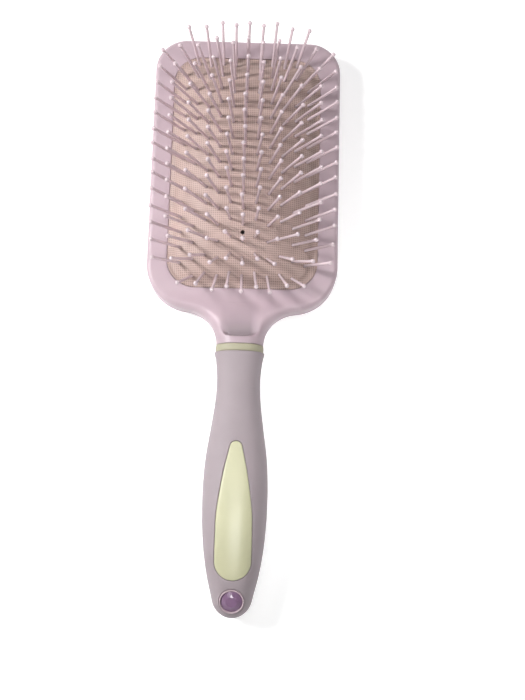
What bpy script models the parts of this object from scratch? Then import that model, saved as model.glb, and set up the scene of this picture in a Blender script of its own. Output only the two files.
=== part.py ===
"""A large paddle hair brush, lying on its back.

Metres, +Z up out of the pins, +Y towards the end of the head, the handle along -Y. The origin is under the
middle of the brush, on the surface that the brush lies on. The head is two shells that clamp a domed rubber
pad between them; eleven columns of ball-tipped pins stand in the pad; a neck ring and a soft sleeve with an
inlay and a set stone go over a stiff core, whose tang is held between the two shells.
"""

import math

import bmesh
import bpy
from mathutils import Vector
from mathutils.geometry import delaunay_2d_cdt

GAP = 0.0003  # between pieces that touch
FAR = 0.2  # beyond the whole brush, for cutters

# The head, seen from above: a paddle with round corners that flows into a narrow neck
HEAD_HALF_WIDTH = 0.041
HEAD_END_Y = 0.125
TOP_CORNER_RADIUS = 0.014
SHOULDER_RADIUS = 0.020
NECK_HALF_WIDTH = 0.010
NECK_FLARE_RADIUS = 0.0152
NECK_END_Y = -0.0131

# The head, seen from the side
HEAD_THICKNESS = 0.013
NECK_TOP_Z = 0.0176
NECK_BOTTOM_Z = 0.0016
FRONT_EDGE_RADIUS = 0.002
BACK_EDGE_RADIUS = 0.0035
NECK_EDGE_RADIUS = 0.0079
HEAD_LEVEL_Y = 0.010  # from here to the neck's end the head swells into the neck
PARTING_Z = 0.006
EDGE_INSETS = (0.0, 0.0006, 0.002, 0.004, 0.0065, 0.0092)

# The thumb dish on the front of the neck: it deepens towards the grip, down to a steep round edge
DISH_HALF_WIDTH = 0.0090
DISH_TOP_Y = 0.0060
DISH_START_Y = -0.0026  # where its sides begin to close in
DISH_LENGTH = 0.0075  # from there to the middle of the round edge
DISH_ROUNDNESS = 3.0
DISH_DEPTH = 0.0030
DISH_POWER = 2.2
DISH_LIFT = 0.0002
DISH_STEPS = 12

# The room for the pad and for the air behind it
PAD_CENTRE_Y = 0.0639
PAD_HALF_WIDTH = 0.032
PAD_HALF_LENGTH = 0.0523
PAD_CORNER_RADIUS = 0.012
MOUTH_LIP = 0.0016
POCKET_HALF_WIDTH = 0.0375
POCKET_HALF_LENGTH = 0.0565
FLOOR_Z = 0.0026

# The rubber pad
PAD_EDGE_Z = 0.0125
PAD_CROWN = 0.0115
CROWN_POWER_X = 2.5
CROWN_POWER_Y = 3.8
PAD_THICKNESS = 0.0015
FLANGE_REACH = 0.0033
FLANGE_TOP_Z = HEAD_THICKNESS - MOUTH_LIP - GAP
FLANGE_BOTTOM_Z = FLANGE_TOP_Z - PAD_THICKNESS
VENT_RADIUS = 0.0008

# The frame that presses the pad's flange up against the lip of the mouth
FRAME_WALL = 0.0050

# The pins
COLUMN_PITCH = 0.00535
PINS_PER_COLUMN = (15, 14)  # in even and in odd columns, counted out from the middle one
COLUMN_HALF_SPAN = (0.0478, 0.0466, 0.0480, 0.0470, 0.0482, 0.0425)  # the middle column first
SPLAY = (1.2, 1.2, 1.2, 1.2, 1.17, 0.97)  # a column's sideways lean, as a multiple of the surface's slope
SPLAY_FADE = (1.0, 1.0, 1.0, 1.0, 0.7, 0.4)  # how far that lean fades towards a column's ends
SKEW = 0.04  # how far the pins that lean along the brush lean to the right as well
PIN_LENGTH = 0.0204  # from the pad's surface to the middle of the ball
PIN_SIDES = 5
PIN_ROOT_RADIUS = 0.00065
PIN_NECK_RADIUS = 0.00042
BALL_RADIUS = 0.00095
PIN_HOLE_RADIUS = 0.00108
STRIP_DEPTH = 0.0019  # of its upper side, below the pad's surface
STRIP_THICKNESS = 0.0010
STRIP_HALF_WIDTH = 0.00095
STRIP_END = 0.0016
BALL_FOOT = 0.9  # where the shaft meets the ball, as a share of the ball's radius

# The ring, the core's tang and the grip
RING_LENGTH = 0.0027
RING_CROWN = 0.00015
TANG_HALF_WIDTH = 0.0047
TANG_HALF_HEIGHT = 0.0037
TANG_Z = 0.0097
TANG_END_Y = 0.004
SECTION_POWER = 2.3
GRIP_START_Y = NECK_END_Y - GAP - RING_LENGTH - GAP
GRIP_END_Y = -0.125
GRIP_END_ROUND = 0.007
GRIP_END_FLAT = 0.0006
GRIP_SIDES = 20
CORE_SIDES = 16
RING_SIDES = 24
BOXY = 8  # the section power of the tang and of its hole in the ring
GRIP_HALF_WIDTHS = (
    (GRIP_START_Y, 0.0106),
    (-0.0200, 0.0098),
    (-0.0280, 0.0091),
    (-0.0370, 0.0095),
    (-0.0480, 0.0109),
    (-0.0600, 0.0126),
    (-0.0700, 0.0133),
    (-0.0800, 0.0134),
    (-0.0900, 0.0130),
    (-0.1000, 0.0120),
    (-0.1090, 0.0104),
    (-0.1150, 0.0089),
    (-0.1190, 0.0080),
    (GRIP_END_Y, 0.0072),
)
GRIP_HALF_HEIGHTS = (
    (GRIP_START_Y, 0.0081),
    (-0.0200, 0.0078),
    (-0.0280, 0.0077),
    (-0.0450, 0.0088),
    (-0.0620, 0.0100),
    (-0.0800, 0.0104),
    (-0.0980, 0.0101),
    (-0.1100, 0.0091),
    (-0.1180, 0.0080),
    (GRIP_END_Y, 0.0070),
)
GRIP_CENTRES = (
    (GRIP_START_Y, 0.0097),
    (-0.0450, 0.0100),
    (-0.0800, 0.0105),
    (-0.1000, 0.0103),
    (GRIP_END_Y, 0.0094),
)
SLEEVE_THICKNESS = 0.0020
CORE_END_Y = -0.1110

# The inlay, a teardrop with its narrow end towards the neck
INLAY_HALF_WIDTH = 0.0074
INLAY_TIP_Y = -0.0543
INLAY_TIP_RADIUS = 0.0025
INLAY_TIP_TURN = 12  # degrees, where the round tip runs into the side
INLAY_ROUND_Y = -0.1024
INLAY_HALF_WIDTHS = (
    (-0.0563, 0.00244),
    (-0.0673, 0.00485),
    (-0.0825, 0.00710),
    (-0.0920, INLAY_HALF_WIDTH),
    (INLAY_ROUND_Y, INLAY_HALF_WIDTH),
)
INLAY_DEPTH = 0.0011
INLAY_RISE = 0.00015

# The stone and its bezel, near the end of the handle
STONE_Y = -0.1181
STONE_TILT = math.radians(20)
STONE_SINK = 0.0012
STONE_RADIUS = 0.0041
STONE_GIRDLE = 0.0004
STONE_CROWN = 0.0010
STONE_TABLE = 0.5  # the table's radius, as a share of the stone's
STONE_SIDES = 12
BEZEL_RADIUS = 0.0050
BEZEL_DEPTH = 0.0030
BEZEL_RISE = 0.0005
BEZEL_FLOOR = 0.0006
BEZEL_SIDES = 24
SEAT_REACH = 0.004  # how far the cutters for the seats in the grip stand out of it


def material(name, colour, roughness, transmission=0.0):
    """A plain Principled material."""
    made = bpy.data.materials.new(name)
    made.use_nodes = True
    shader = made.node_tree.nodes["Principled BSDF"]
    shader.inputs["Base Color"].default_value = (*colour, 1)
    shader.inputs["Roughness"].default_value = roughness
    shader.inputs["Metallic"].default_value = 0
    shader.inputs["Transmission Weight"].default_value = transmission
    made.diffuse_color = (*colour, 1)
    return made


def add_object(name, points, faces, finish=None, origin=(0, 0, 0)):
    """A mesh object whose points are given in the brush's own frame, with its origin at a stated point."""
    origin = Vector(origin)
    mesh = bpy.data.meshes.new(name)
    mesh.from_pydata([Vector(p) - origin for p in points], [], faces)
    mesh.validate()
    made = bpy.data.objects.new(name, mesh)
    made.location = origin
    bpy.context.scene.collection.objects.link(made)
    face_outwards(mesh)
    if finish:
        mesh.materials.append(finish)
        mesh.shade_smooth()
        mesh.set_sharp_from_angle(angle=math.radians(35))
    return made


def face_outwards(mesh):
    """Turn all the faces of a closed mesh outwards."""
    shape = bmesh.new()
    shape.from_mesh(mesh)
    bmesh.ops.recalc_face_normals(shape, faces=shape.faces[:])
    shape.to_mesh(mesh)
    shape.free()


def boolean(target, tool, operation):
    """Leave a Boolean modifier on the target, and hide its tool."""
    change = target.modifiers.new(tool.name, "BOOLEAN")
    change.operation = operation
    change.solver = "EXACT"
    change.object = tool
    tool.hide_render = True
    tool.display_type = "WIRE"


def smooth_step(start, end, at):
    """0 before start, 1 after end, and smooth between them."""
    t = min(max((at - start) / (end - start), 0), 1)
    return t * t * (3 - 2 * t)


def through(keys, at):
    """The value at a place on the smooth curve through (place, value) keys, which are in falling order."""
    for i in range(len(keys) - 1):
        if at >= keys[i + 1][0] or i == len(keys) - 2:
            break
    (a, va), (b, vb) = keys[i], keys[i + 1]
    before = keys[max(i - 1, 0)]
    after = keys[min(i + 2, len(keys) - 1)]
    slope_a = (vb - before[1]) / (b - before[0])
    slope_b = (after[1] - va) / (after[0] - a)
    t, step = (at - a) / (b - a), b - a
    return (
        (1 + 2 * t) * (1 - t) ** 2 * va
        + t * t * (3 - 2 * t) * vb
        + step * (t * (1 - t) ** 2 * slope_a - t * t * (1 - t) * slope_b)
    )


def arc(centre, radius, start, end, steps):
    """Points on an arc, from one angle in degrees to another."""
    angles = [math.radians(start + (end - start) * i / steps) for i in range(steps + 1)]
    return [(centre[0] + radius * math.cos(a), centre[1] + radius * math.sin(a)) for a in angles]


def rounded_rectangle(half_width, half_length, radius, corner_steps=5, side_steps=1, end_steps=1):
    """The outline of a rounded rectangle about the pad's centre, anticlockwise."""
    corners = []
    for turn, (sx, sy) in enumerate(((1, 1), (-1, 1), (-1, -1), (1, -1))):
        centre = (sx * (half_width - radius), PAD_CENTRE_Y + sy * (half_length - radius))
        corners.append(arc(centre, radius, 90 * turn, 90 * turn + 90, corner_steps))
    outline = []
    for turn, steps in enumerate((end_steps, side_steps) * 2):
        start, end = corners[turn][-1], corners[(turn + 1) % 4][0]
        outline += corners[turn]
        for i in range(1, steps):
            outline.append(tuple(a + (b - a) * i / steps for a, b in zip(start, end)))
    return outline


def prism(name, outline, bottom, top, finish=None):
    """A straight prism over an outline."""
    n = len(outline)
    points = [(x, y, z) for z in (bottom, top) for x, y in outline]
    sides = [(i, (i + 1) % n, n + (i + 1) % n, n + i) for i in range(n)]
    return add_object(name, points, sides + [tuple(range(n)), tuple(range(n, 2 * n))], finish)


def box(name, low, high):
    """A plain box between two corners."""
    outline = [(low[0], low[1]), (high[0], low[1]), (high[0], high[1]), (low[0], high[1])]
    return prism(name, outline, low[2], high[2])


def loft(name, sections, finish=None):
    """A closed solid through rings of points that all have the same count."""
    n = len(sections[0])
    points = [p for ring in sections for p in ring]
    faces = [tuple(range(n)), tuple(range(len(points) - n, len(points)))]
    for k in range(len(sections) - 1):
        for i in range(n):
            j = (i + 1) % n
            faces.append((k * n + i, k * n + j, (k + 1) * n + j, (k + 1) * n + i))
    return add_object(name, points, faces, finish)


def head_outline(inset):
    """Half of the head's outline seen from above, from the neck's end to the top edge, moved in by inset."""
    flare_x = NECK_HALF_WIDTH + NECK_FLARE_RADIUS
    shoulder_x = HEAD_HALF_WIDTH - SHOULDER_RADIUS
    reach = SHOULDER_RADIUS + NECK_FLARE_RADIUS
    rise = math.sqrt(reach**2 - (flare_x - shoulder_x) ** 2)
    turn = math.degrees(math.atan2(rise, flare_x - shoulder_x))
    flare_y = NECK_END_Y
    flare = arc((flare_x, flare_y), NECK_FLARE_RADIUS + inset, 180, 180 - turn, 6)
    shoulder = arc((shoulder_x, flare_y + rise), SHOULDER_RADIUS - inset, -turn, 0, 7)
    corner_x = HEAD_HALF_WIDTH - TOP_CORNER_RADIUS
    corner_y = HEAD_END_Y - TOP_CORNER_RADIUS
    corner = arc((corner_x, corner_y), TOP_CORNER_RADIUS - inset, 0, 90, 6)
    return flare + shoulder[1:] + corner


def edge_drop(inset, radius):
    """How far a rounded edge lies below the face beside it, at a distance in from the outline."""
    if inset >= radius:
        return 0
    return radius - math.sqrt(radius**2 - (radius - inset) ** 2)


def head_front_z(inset, y):
    """The height of the head's front at a distance in from the outline."""
    neck = 1 - smooth_step(NECK_END_Y, HEAD_LEVEL_Y, y)
    top = HEAD_THICKNESS + (NECK_TOP_Z - HEAD_THICKNESS) * neck
    return top - edge_drop(inset, FRONT_EDGE_RADIUS + (NECK_EDGE_RADIUS - FRONT_EDGE_RADIUS) * neck)


def head_back_z(inset, y):
    """The height of the head's back at a distance in from the outline."""
    neck = 1 - smooth_step(NECK_END_Y, HEAD_LEVEL_Y, y)
    radius = BACK_EDGE_RADIUS + (NECK_EDGE_RADIUS - 2 * GAP - BACK_EDGE_RADIUS) * neck
    return NECK_BOTTOM_Z * neck + edge_drop(inset, radius)


def head_body(name, finish):
    """The outer form of the whole head and neck, before it is parted and hollowed."""
    right = [head_outline(inset) for inset in EDGE_INSETS]
    left = [[(-x, y) for x, y in reversed(half)] for half in right]
    loops = [r + l for r, l in zip(right, left)]
    count, depth = len(loops[0]), len(loops)
    points, faces = [], []
    for i in range(count):
        # one rib: the back from the middle out to the edge, then the front back in
        for inset, loop in reversed(list(zip(EDGE_INSETS, loops))):
            points.append((*loop[i], head_back_z(inset, loop[i][1])))
        for inset, loop in zip(EDGE_INSETS, loops):
            points.append((*loop[i], head_front_z(inset, loop[i][1])))
    rib = 2 * depth
    for here in range(0, (count - 1) * rib, rib):
        there = here + rib
        faces += [(here + k, here + k + 1, there + k + 1, there + k) for k in range(rib - 1)]
    for i in range(count // 2 - 1):
        here, there = i * rib, (count - 1 - i) * rib
        for k in (0, rib - 1):
            faces.append((here + k, here + rib + k, there - rib + k, there + k))
    faces.append(tuple(range(rib)) + tuple(reversed(range((count - 1) * rib, count * rib))))
    return add_object(name, points, faces, finish)


def head_shells(finish):
    """The front and back shells, parted all round the edge and hollowed for the pad and the tang."""
    channel_low = (-TANG_HALF_WIDTH - GAP, NECK_END_Y - FAR, TANG_Z - TANG_HALF_HEIGHT - GAP)
    channel_high = (TANG_HALF_WIDTH + GAP, TANG_END_Y + GAP, TANG_Z + TANG_HALF_HEIGHT + GAP)
    channel = box("tang_channel_cutter", channel_low, channel_high)
    pocket_outline = rounded_rectangle(POCKET_HALF_WIDTH, POCKET_HALF_LENGTH, PAD_CORNER_RADIUS)
    pocket = prism("pocket_cutter", pocket_outline, FLOOR_Z, HEAD_THICKNESS - MOUTH_LIP)
    mouth_outline = rounded_rectangle(
        PAD_HALF_WIDTH + GAP, PAD_HALF_LENGTH + GAP, PAD_CORNER_RADIUS + GAP, corner_steps=8
    )
    mouth = prism("mouth_cutter", mouth_outline, FLANGE_TOP_Z, FAR)
    below = box("below_parting_cutter", (-FAR, -FAR, -FAR), (FAR, FAR, PARTING_Z + GAP / 2))
    above = box("above_parting_cutter", (-FAR, -FAR, PARTING_Z - GAP / 2), (FAR, FAR, FAR))
    dish = thumb_dish("dish_cutter")
    front = head_body("head_front_shell", finish)
    for tool in (below, pocket, mouth, channel, dish):
        boolean(front, tool, "DIFFERENCE")
    back = head_body("head_back_shell", finish)
    for tool in (above, pocket, channel):
        boolean(back, tool, "DIFFERENCE")


def thumb_dish(name):
    """The cutter for the dish on the front of the neck."""
    reach = DISH_TOP_Y - DISH_START_Y + DISH_LENGTH
    sections = []
    for i in range(DISH_STEPS):
        y = DISH_TOP_Y - reach * i / DISH_STEPS
        closing = max(DISH_START_Y - y, 0) / DISH_LENGTH
        half = DISH_HALF_WIDTH * (1 - closing**DISH_ROUNDNESS) ** (1 / DISH_ROUNDNESS)
        depth = DISH_DEPTH * (i / DISH_STEPS) ** DISH_POWER - DISH_LIFT
        bottom = head_front_z(HEAD_HALF_WIDTH, y) - depth
        sections.append([(-half, y, bottom), (half, y, bottom), (half, y, FAR), (-half, y, FAR)])
    return loft(name, sections)


def crown(x, y):
    """The pad's height above its edge and its fall along X and Y, at a point from the pad's centre."""
    u, v = min(abs(x) / PAD_HALF_WIDTH, 1), min(abs(y) / PAD_HALF_LENGTH, 1)
    across, along = 1 - u**CROWN_POWER_X, 1 - v**CROWN_POWER_Y
    fall_x = PAD_CROWN * CROWN_POWER_X * u ** (CROWN_POWER_X - 1) / PAD_HALF_WIDTH * along
    fall_y = PAD_CROWN * CROWN_POWER_Y * v ** (CROWN_POWER_Y - 1) / PAD_HALF_LENGTH * across
    return PAD_CROWN * across * along, math.copysign(fall_x, x), math.copysign(fall_y, y)


def pad_point(x, y):
    """A point on the pad's surface, from its place beside the pad's centre, and the surface's direction."""
    height, fall_x, fall_y = crown(x, y)
    return Vector((x, PAD_CENTRE_Y + y, PAD_EDGE_Z + height)), Vector((fall_x, fall_y, 1)).normalized()


def pin_direction(column, x, y):
    """The way a pin of a column points."""
    _, fall_x, fall_y = crown(x, y)
    fade = (1 - min(abs(y) / PAD_HALF_LENGTH, 1) ** CROWN_POWER_Y) ** (SPLAY_FADE[abs(column)] - 1)
    return Vector((SPLAY[abs(column)] * fade * fall_x + SKEW * abs(fall_y), fall_y, 1)).normalized()


def pin_places(column):
    """Where the pins of a column stand, from the pad's centre: the same x, and evenly spaced in y."""
    count = PINS_PER_COLUMN[abs(column) % 2]
    span = COLUMN_HALF_SPAN[abs(column)]
    return [(column * COLUMN_PITCH, span - 2 * span * i / (count - 1)) for i in range(count)]


def vent_place():
    """The vent lies on the middle column, between its twelfth and thirteenth pins."""
    (x, above), (_, below) = pin_places(0)[11:13]
    return x, (above + below) / 2


def ring_about(point, direction, radius, sides=PIN_SIDES):
    """A ring of points square to a direction."""
    across = Vector((0, 1, 0)).cross(direction).normalized()
    along = direction.cross(across)
    turns = [2 * math.pi * i / sides for i in range(sides)]
    return [point + radius * (math.cos(t) * across + math.sin(t) * along) for t in turns]


def cushion_pad(finish):
    """The domed rubber diaphragm, with its clamped flange, a hole for each pin and the vent."""
    edge = rounded_rectangle(
        PAD_HALF_WIDTH, PAD_HALF_LENGTH, PAD_CORNER_RADIUS, corner_steps=5, side_steps=7, end_steps=4
    )
    flat = [Vector((x, y - PAD_CENTRE_Y)) for x, y in edge]
    rims = [list(range(len(edge)))]
    vent_x, vent_y = vent_place()
    holes = [(vent_x, vent_y, VENT_RADIUS, pad_point(vent_x, vent_y)[1])]
    for column in range(-5, 6):
        holes += [(x, y, PIN_HOLE_RADIUS, pin_direction(column, x, y)) for x, y in pin_places(column)]
    for x, y, radius, direction in holes:
        hole = ring_about(pad_point(x, y)[0], direction, radius)
        rims.append(list(range(len(flat), len(flat) + PIN_SIDES))[::-1])
        flat += [Vector((p.x, p.y - PAD_CENTRE_Y)) for p in hole]
    borders = [(rim[i], rim[(i + 1) % len(rim)]) for rim in rims for i in range(len(rim))]
    keep_inside, merge_distance = 1, 1e-7
    sheet, _, triangles, came_from, _, _ = delaunay_2d_cdt(flat, borders, [], keep_inside, merge_distance)
    new_index = {old: i for i, sources in enumerate(came_from) for old in sources}
    hole_of = {new_index[i]: k for k, rim in enumerate(rims[1:]) for i in rim}
    triangles = [t for t in triangles if len({hole_of.get(i, -1 - i) for i in t}) > 1]
    tops, bottoms = [], []
    for spot in sheet:
        point, direction = pad_point(spot.x, spot.y)
        tops.append(point)
        bottoms.append(point - PAD_THICKNESS * direction)
    n = len(sheet)
    faces = [tuple(t) for t in triangles] + [tuple(n + i for i in reversed(t)) for t in triangles]
    for rim in rims[1:]:
        loop = [new_index[i] for i in rim]
        faces += [(a, b, n + b, n + a) for a, b in zip(loop, loop[1:] + loop[:1])]
    points = tops + bottoms
    rim = [new_index[i] for i in rims[0]]
    outer = rounded_rectangle(
        PAD_HALF_WIDTH + FLANGE_REACH,
        PAD_HALF_LENGTH + FLANGE_REACH,
        PAD_CORNER_RADIUS + FLANGE_REACH,
        corner_steps=5,
        side_steps=7,
        end_steps=4,
    )
    loops = [rim]
    for ring in (
        [(*edge[i], FLANGE_TOP_Z) for i in range(len(edge))],
        [(x, y, FLANGE_TOP_Z) for x, y in outer],
        [(x, y, FLANGE_BOTTOM_Z) for x, y in outer],
        [(bottoms[i].x, bottoms[i].y, FLANGE_BOTTOM_Z) for i in rim],
    ):
        loops.append(list(range(len(points), len(points) + len(ring))))
        points += ring
    loops.append([n + i for i in rim])
    for upper, lower in zip(loops, loops[1:]):
        for i in range(len(rim)):
            j = (i + 1) % len(rim)
            faces.append((upper[i], upper[j], lower[j], lower[i]))
    add_object("cushion_pad", points, faces, finish, origin=(0, PAD_CENTRE_Y, PAD_EDGE_Z))


def pad_frame(finish):
    """The frame under the pad's flange, which stands on the floor of the back shell."""
    outer = rounded_rectangle(
        PAD_HALF_WIDTH + FLANGE_REACH, PAD_HALF_LENGTH + FLANGE_REACH, PAD_CORNER_RADIUS + FLANGE_REACH
    )
    shrink = FLANGE_REACH - FRAME_WALL
    inner = rounded_rectangle(PAD_HALF_WIDTH + shrink, PAD_HALF_LENGTH + shrink, PAD_CORNER_RADIUS + shrink)
    bottom, top = FLOOR_Z + GAP, FLANGE_BOTTOM_Z - GAP
    n = len(outer)
    rings = [(outer, bottom), (outer, top), (inner, top), (inner, bottom)]
    points = [(x, y, z) for outline, z in rings for x, y in outline]
    faces = []
    for k in range(4):
        for i in range(n):
            j = (i + 1) % n
            after = (k + 1) % 4
            faces.append((k * n + i, k * n + j, after * n + j, after * n + i))
    add_object("pad_frame", points, faces, finish)


def pin_column(column, finish):
    """One column of pins, which stand up through the pad from a thin strip behind it."""
    places = pin_places(column)
    x = places[0][0]
    ys = [y for _, y in places]
    stations = [(a + b) / 2 for a, b in zip(ys, ys[1:])]
    stations = [ys[0] + STRIP_END] + stations + [ys[-1] - STRIP_END]
    points, faces = [], []
    for y in stations:
        direction = pin_direction(column, x, y)
        across = Vector((0, 1, 0)).cross(direction).normalized()
        upper = pad_point(x, y)[0] - STRIP_DEPTH * direction
        lower = upper - STRIP_THICKNESS * direction
        points += [upper - STRIP_HALF_WIDTH * across, upper + STRIP_HALF_WIDTH * across]
        points += [lower - STRIP_HALF_WIDTH * across, lower + STRIP_HALF_WIDTH * across]
    faces += [(0, 1, 3, 2), tuple(len(points) - k for k in (2, 1, 3, 4))]
    for i, y in enumerate(ys):
        a, b = 4 * i, 4 * (i + 1)
        faces += [(a, a + 2, b + 2, b), (a + 1, b + 1, b + 3, a + 3), (a + 2, a + 3, b + 3, b + 2)]
        root = len(points)
        direction = pin_direction(column, x, y)
        foot = pad_point(x, y)[0] - STRIP_DEPTH * direction
        tip = pad_point(x, y)[0] + PIN_LENGTH * direction
        points += ring_about(foot, direction, PIN_ROOT_RADIUS)
        points += ring_about(tip - BALL_FOOT * BALL_RADIUS * direction, direction, PIN_NECK_RADIUS)
        points += ring_about(tip, direction, BALL_RADIUS)
        points.append(tip + BALL_RADIUS * direction)
        for ring in (root, root + PIN_SIDES):
            for k in range(PIN_SIDES):
                j = (k + 1) % PIN_SIDES
                faces.append((ring + k, ring + j, ring + PIN_SIDES + j, ring + PIN_SIDES + k))
        last = root + 2 * PIN_SIDES
        for k in range(PIN_SIDES):
            faces.append((last + k, last + (k + 1) % PIN_SIDES, root + 3 * PIN_SIDES))
        faces += strip_top(a, b, root)
    axis = (x, PAD_CENTRE_Y, column_axis_z(column))
    add_object("pin_column_%02d" % (column + 6), points, faces, finish, origin=axis)


def strip_top(a, b, root):
    """The upper side of a strip between two stations, round the foot of a pin.

    The foot's points go anticlockwise from +X; the strip's corners are a and a + 1 at the head's side, and
    b and b + 1 at the handle's side, each pair from -X to +X. Each corner is joined to the foot's point of
    its own number, and the last corner to the points that are left as well.
    """
    foot = [root + k for k in range(PIN_SIDES)]
    corners = [b + 1, a + 1, a, b]
    faces = []
    for i, corner in enumerate(corners):
        after = (i + 1) % len(corners)
        faces.append((corner, corners[after], foot[after]))
        for k in range(i, after or PIN_SIDES):
            faces.append((corner, foot[(k + 1) % PIN_SIDES], foot[k]))
    return faces


def column_axis_z(column):
    """The height of the line that a column tilts about: the mean height of its pins' roots."""
    heights = [pad_point(x, y)[0].z for x, y in pin_places(column)]
    return sum(heights) / len(heights)


def grip_section(y, shrink=0.0):
    """The middle height, half width and half height of the grip at a place, less a wall."""
    left = max(y - GRIP_END_Y, 0)
    cap = 1.0
    if left < GRIP_END_ROUND:
        cap = math.sqrt(max(1 - (1 - left / GRIP_END_ROUND) ** 2, 0))
    half_width = through(GRIP_HALF_WIDTHS, y) * cap - shrink
    half_height = through(GRIP_HALF_HEIGHTS, y) * cap - shrink
    return through(GRIP_CENTRES, y), half_width, half_height


def oval(y, centre, half_width, half_height, count, power=SECTION_POWER):
    """A ring of points on a rounded oval across the handle."""
    ring = []
    for i in range(count):
        turn = 2 * math.pi * (i + 0.5) / count
        c, s = math.cos(turn), math.sin(turn)
        x = math.copysign(abs(c) ** (2 / power), c) * half_width
        z = math.copysign(abs(s) ** (2 / power), s) * half_height
        ring.append((x, y, centre + z))
    return ring


def grip_top(x, y, rise=0.0):
    """The height of the grip's front face."""
    centre, half_width, half_height = grip_section(y)
    share = min(abs(x) / half_width, 1)
    return centre + half_height * (1 - share**SECTION_POWER) ** (1 / SECTION_POWER) + rise


def grip_stations():
    """Places along the grip: evenly spaced, then closer as the end rounds off."""
    straight = 18
    even_end = GRIP_END_Y + GRIP_END_ROUND
    places = [GRIP_START_Y + (even_end - GRIP_START_Y) * i / straight for i in range(straight + 1)]
    rounding = (35, 57, 75, 86)  # degrees round the end
    return places + [GRIP_END_Y + GRIP_END_ROUND * (1 - math.sin(math.radians(turn))) for turn in rounding]


def grip_sleeve(finish):
    """The soft skin of the handle, open at the neck, with seats for the inlay and the stone."""
    sections = [oval(y, *grip_section(y), GRIP_SIDES) for y in grip_stations()]
    centre = grip_section(GRIP_END_Y)[0]
    sections.append(oval(GRIP_END_Y, centre, GRIP_END_FLAT, GRIP_END_FLAT, GRIP_SIDES))
    sleeve = loft("grip_sleeve", sections, finish)
    opening = oval(GRIP_START_Y + SEAT_REACH, *grip_section(GRIP_START_Y, SLEEVE_THICKNESS), CORE_SIDES)
    places = core_stations(CORE_END_Y - GAP)
    cavity = [oval(y, *grip_section(y, SLEEVE_THICKNESS), CORE_SIDES) for y in places]
    boolean(sleeve, loft("core_cutter", [opening] + cavity), "DIFFERENCE")
    boolean(sleeve, inlay_solid("inlay_cutter", GAP, INLAY_DEPTH + GAP, SEAT_REACH), "DIFFERENCE")
    seat_profile = [(BEZEL_RADIUS + GAP, SEAT_REACH), (BEZEL_RADIUS + GAP, -BEZEL_DEPTH - GAP)]
    boolean(sleeve, turned("stone_seat_cutter", seat_profile, BEZEL_SIDES), "DIFFERENCE")


def core_stations(end):
    """Places along the core's body, from the grip's start to a stated end."""
    steps = 9
    return [GRIP_START_Y + (end - GRIP_START_Y) * i / steps for i in range(steps + 1)]


def handle_core(finish):
    """The stiff core inside the sleeve, with the tang that the two head shells hold."""
    tang = (TANG_Z, TANG_HALF_WIDTH, TANG_HALF_HEIGHT)
    body = core_stations(CORE_END_Y)
    body[0] -= 2 * GAP
    sections = [oval(y, *tang, CORE_SIDES, BOXY) for y in (TANG_END_Y, body[0] + GAP)]
    sections += [oval(y, *grip_section(y, SLEEVE_THICKNESS + GAP), CORE_SIDES) for y in body]
    loft("handle_core", sections, finish)


def neck_ring(finish):
    """The accent ring between the head and the grip, round the tang."""
    start = NECK_END_Y - GAP
    middle = (NECK_TOP_Z + NECK_BOTTOM_Z) / 2
    half_height = (NECK_TOP_Z - NECK_BOTTOM_Z) / 2
    bore = (TANG_Z, TANG_HALF_WIDTH + GAP, TANG_HALF_HEIGHT + GAP)
    rings = []
    for share, swell in ((0, 0), (0.15, RING_CROWN), (0.85, RING_CROWN), (1, 0)):
        y = start - share * RING_LENGTH
        rings.append(oval(y, middle, NECK_HALF_WIDTH + swell, half_height + swell, RING_SIDES))
    rings += [oval(y, *bore, RING_SIDES, BOXY) for y in (start - RING_LENGTH, start)]
    points = [p for ring in rings for p in ring]
    faces = []
    for k in range(len(rings)):
        here, there = k * RING_SIDES, (k + 1) % len(rings) * RING_SIDES
        for i in range(RING_SIDES):
            j = (i + 1) % RING_SIDES
            faces.append((here + i, here + j, there + j, there + i))
    add_object("neck_ring", points, faces, finish)


def inlay_outline(grow):
    """The teardrop, from its narrow end round to it again, moved out by grow."""
    steps = 9
    right = arc((0, INLAY_TIP_Y - INLAY_TIP_RADIUS), INLAY_TIP_RADIUS + grow, 90, INLAY_TIP_TURN, 4)
    start = INLAY_HALF_WIDTHS[0][0]
    for i in range(1, steps):
        y = start + (INLAY_ROUND_Y - start) * i / steps
        right.append((through(INLAY_HALF_WIDTHS, y) + grow, y))
    right += arc((0, INLAY_ROUND_Y), INLAY_HALF_WIDTH + grow, 0, -90, 6)
    return right + [(-x, y) for x, y in right[-2:0:-1]]


def inlay_solid(name, grow, depth, rise, finish=None):
    """The teardrop as a plate that follows the grip's front, between a depth and a rise."""
    outline = inlay_outline(grow)
    n = len(outline)
    middle = (INLAY_TIP_Y + INLAY_ROUND_Y) / 2
    flat = list(outline)
    for share in (0.7, 0.35):
        flat += [(x * share, middle + (y - middle) * share) for x, y in outline]
    flat.append((0, middle))
    points = [(x, y, grip_top(x, y, rise)) for x, y in flat]
    points += [(x, y, grip_top(x, y, -depth)) for x, y in flat]
    under = len(flat)
    faces = []
    for base in (0, under):
        for i in range(n):
            j = (i + 1) % n
            for ring in (0, n):
                faces.append((base + ring + i, base + ring + j, base + ring + n + j, base + ring + n + i))
            faces.append((base + 2 * n + i, base + 2 * n + j, base + 3 * n))
    faces += [(i, (i + 1) % n, under + (i + 1) % n, under + i) for i in range(n)]
    return add_object(name, points, faces, finish)


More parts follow.
